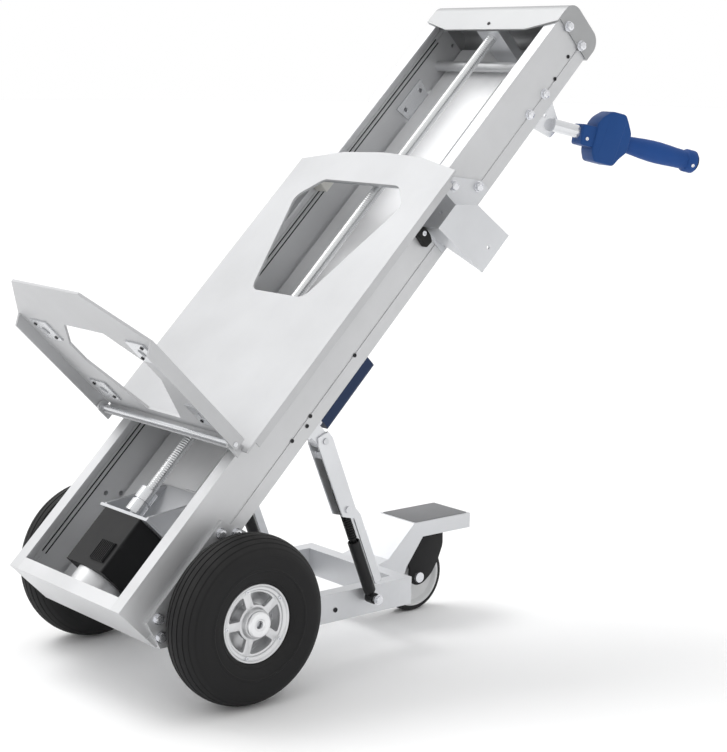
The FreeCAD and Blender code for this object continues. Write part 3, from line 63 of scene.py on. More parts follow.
def in_scene(name, data):
    """A new object holding the given data, in the scene."""
    item = bpy.data.objects.new(name, data)
    bpy.context.scene.collection.objects.link(item)
    return item


def soft_light(name, place, target, size, power):
    """A round soft box at a place, turned to its target."""
    lamp = bpy.data.lights.new(name, "AREA")
    lamp.shape = "DISK"
    lamp.size = size
    lamp.energy = power
    item = in_scene(name, lamp)
    item.location = place
    item.rotation_euler = (Vector(target) - Vector(place)).to_track_quat("-Z", "Y").to_euler()


soft_light("key_light", (-2.2, -2.6, 3.6), (0, 0, 0.4), 2.6, 25)
sun = in_scene("window_light", bpy.data.lights.new("window_light", "SUN"))
sun.data.energy = 0.95
sun.data.angle = math.radians(28)
sun.rotation_euler = Vector((0.62, 0.15, -1.0)).to_track_quat("-Z", "Y").to_euler()

world = bpy.data.worlds.new("studio_air")
bpy.context.scene.world = world
world.use_nodes = True
air = world.node_tree
air.nodes.clear()
looking = put(air, "ShaderNodeTexCoord")
parts_of_way = put(air, "ShaderNodeSeparateXYZ", {0: looking.outputs["Generated"]})
sideways = put(air, "ShaderNodeMapRange",
               {"Value": parts_of_way.outputs["X"], "From Min": -0.3, "From Max": 0.9,
                                           "To Min": 1.0, "To Max": 0.8})
seen = put(air, "ShaderNodeLightPath")
bright = put(air, "ShaderNodeMix", {0: seen.outputs["Is Camera Ray"], 2: sideways.outputs[0], 3: 1.0})
sky = put(air, "ShaderNodeBackground", {"Color": (1.0, 1.0, 1.0, 1), "Strength": bright.outputs[0]})
put(air, "ShaderNodeOutputWorld", {"Surface": sky.outputs[0]})

floor_mesh = bpy.data.meshes.new("studio_floor")
FLOOR_HALF = 40
floor_corners = [(x * FLOOR_HALF, y * FLOOR_HALF, 0) for x, y in ((-1, -1), (1, -1), (1, 1), (-1, 1))]
floor_mesh.from_pydata(floor_corners, [], [(0, 1, 2, 3)])
floor = in_scene("studio_floor", floor_mesh)
floor_paint = bpy.data.materials.new("studio_floor")
floor_paint.use_nodes = True
floor_shader = floor_paint.node_tree.nodes["Principled BSDF"]
floor_shader.inputs["Base Color"].default_value = (0.965, 0.965, 0.965, 1)
floor_shader.inputs["Roughness"].default_value = 0.9
floor_mesh.materials.append(floor_paint)

bpy.context.scene.view_settings.view_transform = "Standard"
axle_low, axle_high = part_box("axle")
AXLE = (axle_low + axle_high) / 2
azimuth, elevation, tilt = math.radians(49.92), math.radians(9.702), math.radians(0.967)
back = Vector((math.sin(azimuth) * math.cos(elevation), -math.cos(azimuth) * math.cos(elevation),
               math.sin(elevation)))
level_right = Vector((math.cos(azimuth), math.sin(azimuth), 0))
level_up = back.cross(level_right)
right = math.cos(tilt) * level_right + math.sin(tilt) * level_up
up = math.cos(tilt) * level_up - math.sin(tilt) * level_right
lens = bpy.data.cameras.new("camera")
lens.lens = 85.27
lens.sensor_width = 36
lens.clip_end = 200
camera = in_scene("camera", lens)
stand = Matrix.Translation(AXLE + Vector((2.254, -1.499, 0.7989)))
camera.matrix_world = stand @ Matrix((right, up, back)).transposed().to_4x4()
bpy.context.scene.camera = camera


# ---------------- rails
# Two extruded aluminium channels, anodised satin silver, with the die's fine lines running up them. They
# lean back over the axle. Everything on them is placed by "across", "along" and "depth" from the axle.

MM = 0.001
LEAN = math.radians(45)
RAIL_PLACE = Matrix.Translation(AXLE) @ Matrix.Rotation(-LEAN, 4, "X")


def on_rails(across, along, depth):
    """The place of a point given in mm across, along and in depth of the rails."""
    return RAIL_PLACE @ Vector((across * MM, -depth * MM, along * MM))


def rail_way(across, along, depth):
    """A direction given across, along and in depth of the rails."""
    return RAIL_PLACE.to_3x3() @ Vector((across, -depth, along))


def effect(name, ins, outs):
    """A shader node group with named inputs (name: start value) and outputs (name: kind)."""
    tree = bpy.data.node_groups.new(name, "ShaderNodeTree")
    for label, start in ins.items():
        kind = "NodeSocketFloat" if isinstance(start, (int, float)) else "NodeSocketVector"
        socket = tree.interface.new_socket(label, in_out="INPUT", socket_type=kind)
        socket.default_value = start
    for label, kind in outs.items():
        tree.interface.new_socket(label, in_out="OUTPUT", socket_type=kind)
    return tree, tree.nodes.new("NodeGroupInput").outputs, tree.nodes.new("NodeGroupOutput").inputs


def maths(tree, operation, first, second=0.0, clamp=False):
    """The output of a Math node."""
    return put(tree, "ShaderNodeMath", {0: first, 1: second}, operation=operation, use_clamp=clamp).outputs[0]


# edge wear and highlight: a rounded normal at every sharp edge, and a mask that is 1 on the edge
# the materials lighten their colour along this mask: partly wear, partly a painted edge highlight
edge_wear_and_highlight, given, result = effect("edge_wear_and_highlight", {"Radius": 0.0008, "Amount": 1.0},
                                  {"Edge": "NodeSocketFloat", "Rounded": "NodeSocketVector"})
rounded = put(edge_wear_and_highlight, "ShaderNodeBevel", {"Radius": given["Radius"]}, samples=4)
flat_way = put(edge_wear_and_highlight, "ShaderNodeNewGeometry")
same = put(edge_wear_and_highlight, "ShaderNodeVectorMath", {0: rounded.outputs[0], 1: flat_way.outputs["Normal"]},
           operation="DOT_PRODUCT")
turned_away = maths(edge_wear_and_highlight, "SUBTRACT", 1.0, same.outputs["Value"])
edge_wear_and_highlight.links.new(maths(edge_wear_and_highlight, "MULTIPLY", maths(edge_wear_and_highlight, "MULTIPLY", turned_away, 6.0, True),
                          given["Amount"]), result["Edge"])
edge_wear_and_highlight.links.new(rounded.outputs[0], result["Rounded"])

# drawn grain: fine lines along the local Z of the given coordinates
drawn_grain, given, result = effect("drawn_grain", {"Vector": (0, 0, 0), "Lines": 900.0, "Stretch": 0.02},
                                    {"Grain": "NodeSocketFloat"})
stretch = put(drawn_grain, "ShaderNodeCombineXYZ", {"X": 1.0, "Y": 1.0, "Z": given["Stretch"]})
stretched = put(drawn_grain, "ShaderNodeVectorMath", {0: given["Vector"], 1: stretch.outputs[0]},
                operation="MULTIPLY")
fine = put(drawn_grain, "ShaderNodeTexNoise",
           {"Vector": stretched.outputs[0], "Scale": given["Lines"], "Detail": 3.0, "Roughness": 0.6})
drawn_grain.links.new(fine.outputs["Fac"], result["Grain"])

# handling: soft cloudy marks, with a few faint scratches and smears among them
handling, given, result = effect("handling", {"Vector": (0, 0, 0), "Size": 6.0},
                                 {"Smears": "NodeSocketFloat", "Scratches": "NodeSocketFloat"})
clouds = put(handling, "ShaderNodeTexNoise",
             {"Vector": given["Vector"], "Scale": given["Size"], "Detail": 4.0, "Roughness": 0.55})
handling.links.new(clouds.outputs["Fac"], result["Smears"])
skewed = put(handling, "ShaderNodeMapping",
             {"Vector": given["Vector"], "Rotation": (0.3, 0.5, 0.9), "Scale": (4.0, 160.0, 60.0)})
streaks = put(handling, "ShaderNodeTexNoise", {"Vector": skewed.outputs[0], "Scale": 2.2, "Detail": 1.0})
rare = put(handling, "ShaderNodeMapRange",
           {"Value": streaks.outputs["Fac"], "From Min": 0.72, "From Max": 0.8})
handling.links.new(rare.outputs[0], result["Scratches"])

# floor dust: pale dust that lies on what faces up, thicker near the floor
floor_dust, given, result = effect("floor_dust", {"Vector": (0, 0, 0), "Amount": 0.3},
                                   {"Dust": "NodeSocketFloat"})
facing = put(floor_dust, "ShaderNodeNewGeometry")
upward = put(floor_dust, "ShaderNodeSeparateXYZ", {0: facing.outputs["Normal"]})
lying = put(floor_dust, "ShaderNodeMapRange",
            {"Value": upward.outputs["Z"], "From Min": 0.1, "From Max": 1.0})
height = put(floor_dust, "ShaderNodeSeparateXYZ", {0: given["Vector"]})
low_down = put(floor_dust, "ShaderNodeMapRange",
               {"Value": height.outputs["Z"], "From Min": 0.9, "From Max": 0.0, "To Min": 0.25})
grains = put(floor_dust, "ShaderNodeTexNoise", {"Vector": given["Vector"], "Scale": 38.0, "Detail": 5.0})
settled = maths(floor_dust, "MULTIPLY", maths(floor_dust, "MULTIPLY", lying.outputs[0], low_down.outputs[0]),
                grains.outputs["Fac"])
floor_dust.links.new(maths(floor_dust, "MULTIPLY", settled, given["Amount"], True), result["Dust"])

ALONG_RAILS = (LEAN, 0, 0)
ACROSS = (0, math.radians(90), 0)
ALONG_FLOOR = (math.radians(90), 0, 0)
DUST = (0.42, 0.40, 0.37, 1)


def group(tree, effect_tree, inputs):
    """The outputs of an effect placed in a material with its own values."""
    made = tree.nodes.new("ShaderNodeGroup")
    made.node_tree = effect_tree
    for name, given_value in inputs.items():
        if isinstance(given_value, bpy.types.NodeSocket):
            tree.links.new(given_value, made.inputs[name])
        else:
            made.inputs[name].default_value = given_value
    return made.outputs


def new_material(name):
    """A material with its tree, its shader and the piece's own coordinates."""
    made = bpy.data.materials.new(name)
    made.use_nodes = True
    tree = made.node_tree
    return made, tree, tree.nodes["Principled BSDF"], put(tree, "ShaderNodeTexCoord").outputs["Object"]


def shade(colour, factor, lift=0.0):
    """A colour made darker or lighter, held at white."""
    return tuple(min(1.0, c * factor + lift) for c in colour) + (1,)


def blend_colour(tree, how_much, first, second):
    """The output of a colour mix."""
    mix = tree.nodes.new("ShaderNodeMix")
    mix.data_type = "RGBA"
    for index, given_value in ((0, how_much), (6, first), (7, second)):
        if isinstance(given_value, bpy.types.NodeSocket):
            tree.links.new(given_value, mix.inputs[index])
        else:
            mix.inputs[index].default_value = given_value
    return mix.outputs[2]


def metal(name, colour, rough, turn=ALONG_RAILS, lines=900.0, stretch=0.02, depth=0.35, metallic=0.75,
          wear_and_highlight=0.5, edge=0.0008, dust=0.08, spread=0.12):
    """A worked metal: grain one way, smears and scratches in its gloss, edges lightened by wear and a painted
    highlight, some dust.
    """
    made, tree, shader, place = new_material(name)
    lined_up = put(tree, "ShaderNodeMapping", {"Vector": place, "Rotation": turn}).outputs[0]
    grain = group(tree, drawn_grain, {"Vector": lined_up, "Lines": lines, "Stretch": stretch})["Grain"]
    marks = group(tree, handling, {"Vector": lined_up, "Size": 7.0})
    edges = group(tree, edge_wear_and_highlight, {"Radius": edge, "Amount": wear_and_highlight})
    dusty = group(tree, floor_dust, {"Vector": place, "Amount": dust})["Dust"]
    cloudy = blend_colour(tree, marks["Smears"], shade(colour, 0.82), shade(colour, 1.1))
    # edges lighter in colour: partly wear, partly a painted edge highlight
    worn_and_highlit = blend_colour(tree, edges["Edge"], cloudy, shade(colour, 1.12, 0.04))
    tree.links.new(blend_colour(tree, dusty, worn_and_highlit, DUST), shader.inputs["Base Color"])
    gloss = maths(tree, "ADD", maths(tree, "MULTIPLY", grain, spread), rough - spread)
    gloss = maths(tree, "ADD", gloss, maths(tree, "MULTIPLY", marks["Smears"], spread))
    gloss = maths(tree, "ADD", gloss, maths(tree, "MULTIPLY", dusty, 0.4), True)
    tree.links.new(gloss, shader.inputs["Roughness"])
    shader.inputs["Metallic"].default_value = metallic
    raised = maths(tree, "SUBTRACT", grain, maths(tree, "MULTIPLY", marks["Scratches"], 0.7))
    bump = put(tree, "ShaderNodeBump",
               {"Strength": depth, "Distance": 0.0002, "Height": raised, "Normal": edges["Rounded"]})
    tree.links.new(bump.outputs[0], shader.inputs["Normal"])
    return made


def finish_nodes(material, *names):
    """Gives CAD nodes their material."""
    for name in names:
        for held in node[name].material_slots:
            held.material = material


rail_metal = metal("rail_aluminium", (0.62, 0.625, 0.635), 0.44, depth=0.25, metallic=0.5)
finish_nodes(rail_metal, "left_rail", "right_rail")


# ---------------- back panel and foot channel
# The panel is mill-finish sheet, brighter than the rails, with a pressed rib; the foot channel is a bent
# piece of rail stock welded across the bottom.

panel_metal = metal("panel_aluminium", (0.86, 0.865, 0.875), 0.42, lines=600.0, stretch=0.01, depth=0.3,
                    spread=0.1, metallic=0.25)
finish_nodes(panel_metal, "back_panel")
cross_metal = metal("cross_aluminium", (0.64, 0.645, 0.655), 0.4, turn=ACROSS, depth=0.25)
finish_nodes(cross_metal, "foot_channel", "cross_tube")


# ---------------- top cap
# A hood folded from sheet, bead-blasted and clear anodised, bolted over the rail tops.

cap_metal = metal("cap_aluminium", (0.41, 0.415, 0.42), 0.48, turn=ACROSS, lines=1500.0, stretch=0.3,
                  depth=0.2, edge=0.001)
finish_nodes(cap_metal, "top_cap")


# ---------------- screws and bolts
# Zinc-plated hexagon bolts hold the axle plates, handles, cap and side bracket. Small black socket screws
# hold the rail's fittings. Each kind is one Geometry Nodes tree fed with points that carry a facing way.

def meshed(name, tree_maker, points, ways, material, sizes):
    """Puts a head on every point, turned to its way, and returns the finished plain mesh."""
    seed = bpy.data.meshes.new(name + "_points")
    seed.from_pydata([tuple(p) for p in points], [], [])
    facing_ways = seed.attributes.new("facing", "FLOAT_VECTOR", "POINT")
    facing_ways.data.foreach_set("vector", [c for way in ways for c in way])
    holder = in_scene(name + "_points", seed)
    modifier = holder.modifiers.new("heads", "NODES")
    tree = tree_maker()
    modifier.node_group = tree
    by_name = {s.name: s.identifier for s in tree.interface.items_tree
               if s.item_type == "SOCKET" and s.in_out == "INPUT"}
    for label, size in sizes.items():
        modifier[by_name[label]] = size
    modifier[by_name["Finish"]] = material
    bpy.context.view_layer.update()
    mesh = bpy.data.meshes.new_from_object(holder.evaluated_get(bpy.context.evaluated_depsgraph_get()))
    holder.modifiers.remove(modifier)
    bpy.data.objects.remove(holder)
    mesh.name = name
    return mesh


def piece(name, mesh, material, body, stands_for=()):
    """A finished piece: its object at the origin, its place in its mesh, riding on a body."""
    item = in_scene(name, mesh)
    mesh.materials.clear()
    mesh.materials.append(material)
    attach(item, body)
    if stands_for:
        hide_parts(*stands_for)
    return item


def heads_tree(name, sizes, shape):
    """A tree that copies a head onto points: shape(tree, group inputs) gives the head's geometry output."""
    made = bpy.data.node_groups.get(name)
    if made:
        return made
    made = bpy.data.node_groups.new(name, "GeometryNodeTree")
    made.interface.new_socket("Points", in_out="INPUT", socket_type="NodeSocketGeometry")
    for label, start in sizes.items():
        made.interface.new_socket(label, in_out="INPUT", socket_type="NodeSocketFloat").default_value = start
    made.interface.new_socket("Finish", in_out="INPUT", socket_type="NodeSocketMaterial")
    made.interface.new_socket("Heads", in_out="OUTPUT", socket_type="NodeSocketGeometry")
    enter = made.nodes.new("NodeGroupInput").outputs
    leave = made.nodes.new("NodeGroupOutput").inputs
    head = shape(made, enter)
    way = put(made, "GeometryNodeInputNamedAttribute", {"Name": "facing"}, data_type="FLOAT_VECTOR")
    turn = put(made, "FunctionNodeAlignRotationToVector", {"Vector": way.outputs["Attribute"]}, axis="Z")
    copies = put(made, "GeometryNodeInstanceOnPoints",
                 {"Points": enter["Points"], "Instance": head, "Rotation": turn.outputs[0]})
    real = put(made, "GeometryNodeRealizeInstances", {"Geometry": copies.outputs[0]})
    painted = put(made, "GeometryNodeSetMaterial", {"Geometry": real.outputs[0], "Material": enter["Finish"]})
    made.links.new(painted.outputs[0], leave["Heads"])
    return made


def lifted(tree, geometry, distance):
    """Geometry moved up its own Z."""
    rise = put(tree, "ShaderNodeCombineXYZ", {"Z": distance}).outputs[0]
    return put(tree, "GeometryNodeTransform", {"Geometry": geometry, "Translation": rise}).outputs[0]


def joined(tree, *shapes):
    """Several shapes as one geometry."""
    join = tree.nodes.new("GeometryNodeJoinGeometry")
    for shape in shapes:
        tree.links.new(shape, join.inputs[0])
    return join.outputs[0]


def halved(tree, socket):
    """Half of a size."""
    return maths(tree, "MULTIPLY", socket, 0.5)


def hexagon_head(tree, enter):
    """A washer, the hexagon and its chamfered crown."""
    washer = put(tree, "GeometryNodeMeshCylinder",
                 {"Vertices": 24, "Radius": enter["Washer Radius"], "Depth": enter["Washer Thick"]})
    hexagon = put(tree, "GeometryNodeMeshCylinder",
                  {"Vertices": 6, "Radius": enter["Radius"], "Depth": enter["Height"]})
    foot = maths(tree, "MULTIPLY", enter["Radius"], 0.86)
    crown = put(tree, "GeometryNodeMeshCone", {"Vertices": 18, "Radius Top": halved(tree, enter["Radius"]),
                                               "Radius Bottom": foot, "Depth": enter["Washer Thick"]})
    stack = maths(tree, "ADD", enter["Washer Thick"], halved(tree, enter["Height"]))
    top = maths(tree, "ADD", enter["Washer Thick"], enter["Height"])
    return joined(tree, lifted(tree, washer.outputs["Mesh"], halved(tree, enter["Washer Thick"])),
                  lifted(tree, hexagon.outputs["Mesh"], stack), lifted(tree, crown.outputs["Mesh"], top))


def socket_head(tree, enter):
    """A round head with a sunk hexagon socket: the top face is shrunk, turned six-sided and pushed in."""
    barrel = put(tree, "GeometryNodeMeshCylinder",
                 {"Vertices": 18, "Radius": enter["Radius"], "Depth": enter["Height"]})
    ring = put(tree, "GeometryNodeExtrudeMesh",
               {"Mesh": barrel.outputs["Mesh"], "Selection": barrel.outputs["Top"], "Offset Scale": 0.0},
               mode="FACES")
    small = put(tree, "GeometryNodeScaleElements",
                {"Geometry": ring.outputs["Mesh"], "Selection": ring.outputs["Top"], "Scale": 0.52})
    well = maths(tree, "MULTIPLY", enter["Height"], -0.7)
    sunk = put(tree, "GeometryNodeExtrudeMesh", {"Mesh": small.outputs[0], "Selection": ring.outputs["Top"],
                                                 "Offset Scale": well}, mode="FACES")
    return lifted(tree, sunk.outputs["Mesh"], halved(tree, enter["Height"]))


def hexagon_bolts():
    """The tree of the washered hexagon heads."""
    return heads_tree("hexagon_bolts",
                      {"Radius": 0.0075, "Height": 0.005, "Washer Radius": 0.009, "Washer Thick": 0.0012},
                      hexagon_head)


def socket_screws():
    """The tree of the round socket heads."""
    return heads_tree("socket_screws", {"Radius": 0.0035, "Height": 0.002}, socket_head)


bolt_metal = metal("bolt_zinc", (0.78, 0.79, 0.82), 0.16, lines=300.0, stretch=1.0, depth=0.1, wear_and_highlight=0.3,
                   edge=0.0004, spread=0.06)
black_screw = metal("black_screw", (0.03, 0.03, 0.033), 0.35, lines=400.0, stretch=1.0, depth=0.1,
                    edge=0.0003, metallic=0.7)
spots, ways = [], []
for side in (-1, 1):
    outward = Vector((side, 0, 0))
    for face, pairs in ((164, ((95, 71), (-95, 71), (78, 94), (-78, 94))), (158, ((951, 86), (999, 86))),
                        (161.3, ((1112, 86), (1112, 130)))):
        for along, depth in pairs:
            spots.append(on_rails(side * face, along, depth))
            ways.append(outward)
for along, depth in ((753, 126), (789, 86)):
    spots.append(on_rails(161, along, depth))
    ways.append(Vector((1, 0, 0)))
mesh = meshed("hexagon_bolts", hexagon_bolts, spots, ways, bolt_metal,
              {"Height": 0.0052, "Washer Thick": 0.0009})
piece("rail_bolts", mesh, bolt_metal, "frame", ["hex_bolts"])

spots, ways = [], []
for side in (-1, 1):
    for along, depth in ((310, 84), (295, 78), (261, 84), (432, 84), (1033, 87), (1080, 92)):
        spots.append(on_rails(side * 158, along, depth))
        ways.append(Vector((side, 0, 0)))
spots.append(on_rails(2, 1094, 155.3))
ways.append(rail_way(0, 0, 1))
mesh = meshed("rail_screws", socket_screws, spots, ways, black_screw, {"Radius": 0.0032, "Height": 0.0012})
piece("rail_screws", mesh, black_screw, "frame")


# ---------------- drive at the rail foot
# A black geared motor hangs from a bent steel shelf with two gussets; its rear is a turned silver cap. A
# split coupling joins it to the lead screw, which runs up the middle to a plain bearing.

bracket_metal = metal("bracket_steel", (0.62, 0.63, 0.65), 0.33, turn=ACROSS, lines=700.0, stretch=0.2,
                      depth=0.3)
finish_nodes(bracket_metal, "motor_bracket")


def moulded(name, colour, rough, bumps=1400.0, depth=0.35, edge=0.0012, dust=0.04, coat=0.0, wear_and_highlight=0.35):
    """Moulded plastic or powder coat: a fine pebbled skin, slight shade changes, soft edges lightened by wear
    and a painted highlight, and dust.
    """
    made, tree, shader, place = new_material(name)
    pebbles = put(tree, "ShaderNodeTexVoronoi", {"Vector": place, "Scale": bumps},
                  feature="SMOOTH_F1").outputs["Distance"]
    marks = group(tree, handling, {"Vector": place, "Size": 9.0})
    edges = group(tree, edge_wear_and_highlight, {"Radius": edge, "Amount": wear_and_highlight})
    dusty = group(tree, floor_dust, {"Vector": place, "Amount": dust})["Dust"]
    shaded = blend_colour(tree, marks["Smears"], shade(colour, 0.8), shade(colour, 1.15))
    # edges lighter in colour: partly rubbing, partly a painted edge highlight
    rubbed_and_highlit = blend_colour(tree, edges["Edge"], shaded, shade(colour, 1.5, 0.02))
    tree.links.new(blend_colour(tree, dusty, rubbed_and_highlit, DUST), shader.inputs["Base Color"])
    gloss = maths(tree, "ADD", maths(tree, "MULTIPLY", marks["Smears"], 0.14), rough - 0.07)
    tree.links.new(maths(tree, "ADD", gloss, maths(tree, "MULTIPLY", dusty, 0.4), True),
                   shader.inputs["Roughness"])
    shader.inputs["Coat Weight"].default_value = coat
    shader.inputs["Specular IOR Level"].default_value = 0.25
    bump = put(tree, "ShaderNodeBump",
               {"Strength": depth, "Distance": 0.0001, "Height": pebbles, "Normal": edges["Rounded"]})
    tree.links.new(bump.outputs[0], shader.inputs["Normal"])
    return made


motor_black = moulded("motor_black", (0.008, 0.008, 0.009), 0.5, bumps=900.0)
finish_nodes(motor_black, "motor_housing")
finish_nodes(black_screw, "bracket_screws")
turned_metal = metal("turned_aluminium", (0.80, 0.805, 0.815), 0.34, lines=1200.0, stretch=14.0, depth=0.35,
                     metallic=0.45)
finish_nodes(turned_metal, "motor_end_cap")
bearing_metal = metal("machined_aluminium", (0.64, 0.65, 0.67), 0.36, turn=ACROSS, lines=800.0)
finish_nodes(bearing_metal, "screw_bearing")
chrome = metal("bright_steel", (0.80, 0.81, 0.83), 0.12, lines=1500.0, stretch=6.0, depth=0.12, spread=0.05)
finish_nodes(chrome, "shaft_coupling")


def plug_ribs(tree, enter):
    """One straight rib."""
    return put(tree, "GeometryNodeMeshCube", {"Size": put(tree, "ShaderNodeCombineXYZ", {
        "X": enter["Thick"], "Y": enter["Length"], "Z": enter["Height"]}).outputs[0]}).outputs["Mesh"]


def plug_ribs_tree():
    """The tree of the plug's ribs."""
    return heads_tree("plug_ribs", {"Thick": 0.0016, "Length": 0.033, "Height": 0.002}, plug_ribs)


RIB_COUNT, RIB_START, RIB_STEP = 8, 6.5, 4.4
mesh = meshed("motor_plug_ribs", plug_ribs_tree,
              [on_rails(RIB_START + RIB_STEP * k, -30.5, 150.4) for k in range(RIB_COUNT)],
              [rail_way(0, 0, 1)] * RIB_COUNT, motor_black, {})
piece("motor_plug_ribs", mesh, motor_black, "frame")


def finished(shape, name, sharp):
    """The mesh of a worked shape, smooth except where its faces turn by more than the sharp angle."""
    mesh = bpy.data.meshes.new(name)
    shape.to_mesh(mesh)
    shape.free()
    mesh.shade_smooth()
    mesh.set_sharp_from_angle(angle=math.radians(sharp))
    return mesh


def closed_rings(name, rings, matrix, sharp=35):
    """A closed skin over a stack of rings of points, capped at both ends, with its faces pointing out."""
    shape = bmesh.new()
    rows = [[shape.verts.new(matrix @ Vector(p)) for p in ring] for ring in rings]
    count = len(rings[0])
    for low, high in zip(rows, rows[1:]):
        for k in range(count):
            shape.faces.new((low[k], low[(k + 1) % count], high[(k + 1) % count], high[k]))
    shape.faces.new(list(reversed(rows[0])))
    shape.faces.new(rows[-1])
    bmesh.ops.recalc_face_normals(shape, faces=shape.faces)
    return finished(shape, name, sharp)


SCREW_FOOT, SCREW_TOP, THREAD_PITCH, SCREW_DEPTH = 88, 1100, 4, 131
THREAD_ROOT, THREAD_CREST = 8.35, 8.95
THREAD_STEPS, THREAD_SIDES = 6, 20


def thread_radius(along, turn):
    """A trapezium thread: the radius at a height and an angle."""
    if along < SCREW_FOOT + 3 or along > SCREW_TOP - 20:
        return THREAD_CREST
    phase = (along / THREAD_PITCH - turn / math.tau) % 1.0
    wave = abs(phase - 0.5) * 4 - 0.5
    return THREAD_ROOT + (THREAD_CREST - THREAD_ROOT) * min(1.0, max(0.0, wave))


rings = []
steps = int((SCREW_TOP - SCREW_FOOT) / THREAD_PITCH * THREAD_STEPS)
for i in range(steps + 1):
    along = SCREW_FOOT + (SCREW_TOP - SCREW_FOOT) * i / steps
    ring = []
    for k in range(THREAD_SIDES):
        turn = math.tau * k / THREAD_SIDES
        radius = thread_radius(along, turn) * MM
        ring.append((radius * math.cos(turn), -SCREW_DEPTH * MM + radius * math.sin(turn), along * MM))
    rings.append(ring)
mesh = closed_rings("lead_screw_thread", rings, RAIL_PLACE, sharp=60)
screw_metal = metal("screw_steel", (0.78, 0.79, 0.80), 0.2, lines=1500.0, stretch=4.0, depth=0.1,
                    spread=0.06, wear_and_highlight=0.2)
piece("lead_screw_thread", mesh, screw_metal, "screw", ["lead_screw"])


# ---------------- axle and axle plates
# A stepped steel bar, zinc plated, through two laser-cut plates bolted outside the rails.

axle_metal = metal("zinc_steel", (0.60, 0.61, 0.63), 0.3, turn=ACROSS, lines=900.0, stretch=8.0, depth=0.25)
finish_nodes(axle_metal, "axle")
finish_nodes(rail_metal, "left_axle_plate", "right_axle_plate")


# ---------------- drive wheels
# Pneumatic tyres with fine ribs round the tread and a rim-guard ring, on die-cast rims: a wide flange, five
# rounded windows between flared spokes, screws where the spokes meet the flange, and a hub cap.

def turned_mesh(name, outline, place, steps=96, sharp=32):
    """A closed outline of (out, radius) in mm, turned round the local X axis."""
    shape = bmesh.new()
    rows = []
    for k in range(steps):
        c, s = math.cos(math.tau * k / steps), math.sin(math.tau * k / steps)
        rows.append([shape.verts.new(place @ Vector((x * MM, r * c * MM, r * s * MM))) for x, r in outline])
    count = len(outline)
    for k in range(steps):
        here, there = rows[k], rows[(k + 1) % steps]
        for j in range(count):
            shape.faces.new((here[j], here[(j + 1) % count], there[(j + 1) % count], there[j]))
    bmesh.ops.remove_doubles(shape, verts=shape.verts, dist=1e-7)
    bmesh.ops.recalc_face_normals(shape, faces=shape.faces)
    return finished(shape, name, sharp)


def softened(points, radius, steps=4):
    """The closed outline with every corner rounded off; a corner can have its own radius as a third value."""
    out = []
    count = len(points)
    for i, point in enumerate(points):
        here = Vector(point[:2])
        r = point[2] if len(point) > 2 else radius
        before = Vector(points[i - 1][:2]) - here
        after = Vector(points[(i + 1) % count][:2]) - here
        cut = min(r, before.length * 0.45, after.length * 0.45)
        if cut < 1e-4:
            out.append(tuple(here))
            continue
        a, b = here + before.normalized() * cut, here + after.normalized() * cut
        for k in range(steps + 1):
            t = k / steps
            out.append(tuple(a * (1 - t) ** 2 + here * (2 * t * (1 - t)) + b * t ** 2))
    return out


def tyre_outline():
    """Bead, bulging sidewall with a guard ring, and a crowned tread with nine ribs' grooves."""
    def crown(angle, sunk=0.0):
        return (39.6 * math.sin(angle), 100 - sunk + (29.8 - sunk * 0.3) * math.cos(angle))
    side = [(27, 60), (30.5, 61), (33, 64), (34.2, 65.8), (34.0, 66.6), (36.2, 71), (38, 78), (38.6, 81),
            (39.7, 82), (39.7, 84), (39.0, 85), (39.3, 92)]
    tread = []
    grooves = [math.radians(a) for a in (-62, -46, -31, -15.5, 0, 15.5, 31, 46, 62)]
    for middle in grooves:
        tread += [crown(middle - 0.075), crown(middle - 0.032), crown(middle - 0.02, 1.0),
                  crown(middle + 0.02, 1.0),
                  crown(middle + 0.032), crown(middle + 0.075)]
    shoulders = [crown(math.radians(a)) for a in (-88, -80, -72)]
    far_shoulders = [(-x, r) for x, r in reversed(shoulders)]
    return [(-x, r) for x, r in side] + shoulders + tread + far_shoulders + list(reversed(side))


def rubber(name, colour=(0.011, 0.011, 0.0115), rough=0.7, rings=0.0, centre=(0, 0, 0)):
    """Black rubber: fine mould lines round the axle, a mottled bloom and dust in the low places."""
    made, tree, shader, place = new_material(name)
    centred = put(tree, "ShaderNodeVectorMath", {0: place, 1: tuple(centre)}, operation="SUBTRACT").outputs[0]
    along = put(tree, "ShaderNodeSeparateXYZ", {0: centred})
    reach = put(tree, "ShaderNodeCombineXYZ", {"Y": along.outputs["Y"], "Z": along.outputs["Z"]})
    radius = put(tree, "ShaderNodeVectorMath", {0: reach.outputs[0]}, operation="LENGTH").outputs["Value"]
    lines = maths(tree, "SINE",
                  maths(tree, "MULTIPLY", maths(tree, "ADD", radius, along.outputs["X"]), rings))
    skin = put(tree, "ShaderNodeTexNoise", {"Vector": place, "Scale": 900.0, "Detail": 4.0}).outputs["Fac"]
    marks = group(tree, handling, {"Vector": centred, "Size": 14.0})
    dusty = group(tree, floor_dust, {"Vector": place, "Amount": 0.06})["Dust"]
    bloom = blend_colour(tree, marks["Smears"], shade(colour, 0.7), shade(colour, 1.5))
    tree.links.new(blend_colour(tree, dusty, bloom, DUST), shader.inputs["Base Color"])
    gloss = maths(tree, "ADD", maths(tree, "MULTIPLY", marks["Smears"], 0.25), rough - 0.12, True)
    tree.links.new(gloss, shader.inputs["Roughness"])
    shader.inputs["Specular IOR Level"].default_value = 0.25
    relief = maths(tree, "ADD", maths(tree, "MULTIPLY", lines, 0.5), skin)
    bump = put(tree, "ShaderNodeBump", {"Strength": 0.5, "Distance": 0.0002, "Height": relief})
    tree.links.new(bump.outputs[0], shader.inputs["Normal"])
    return made


SPOKES = 5
SPOKE_ROUND = 0.0007


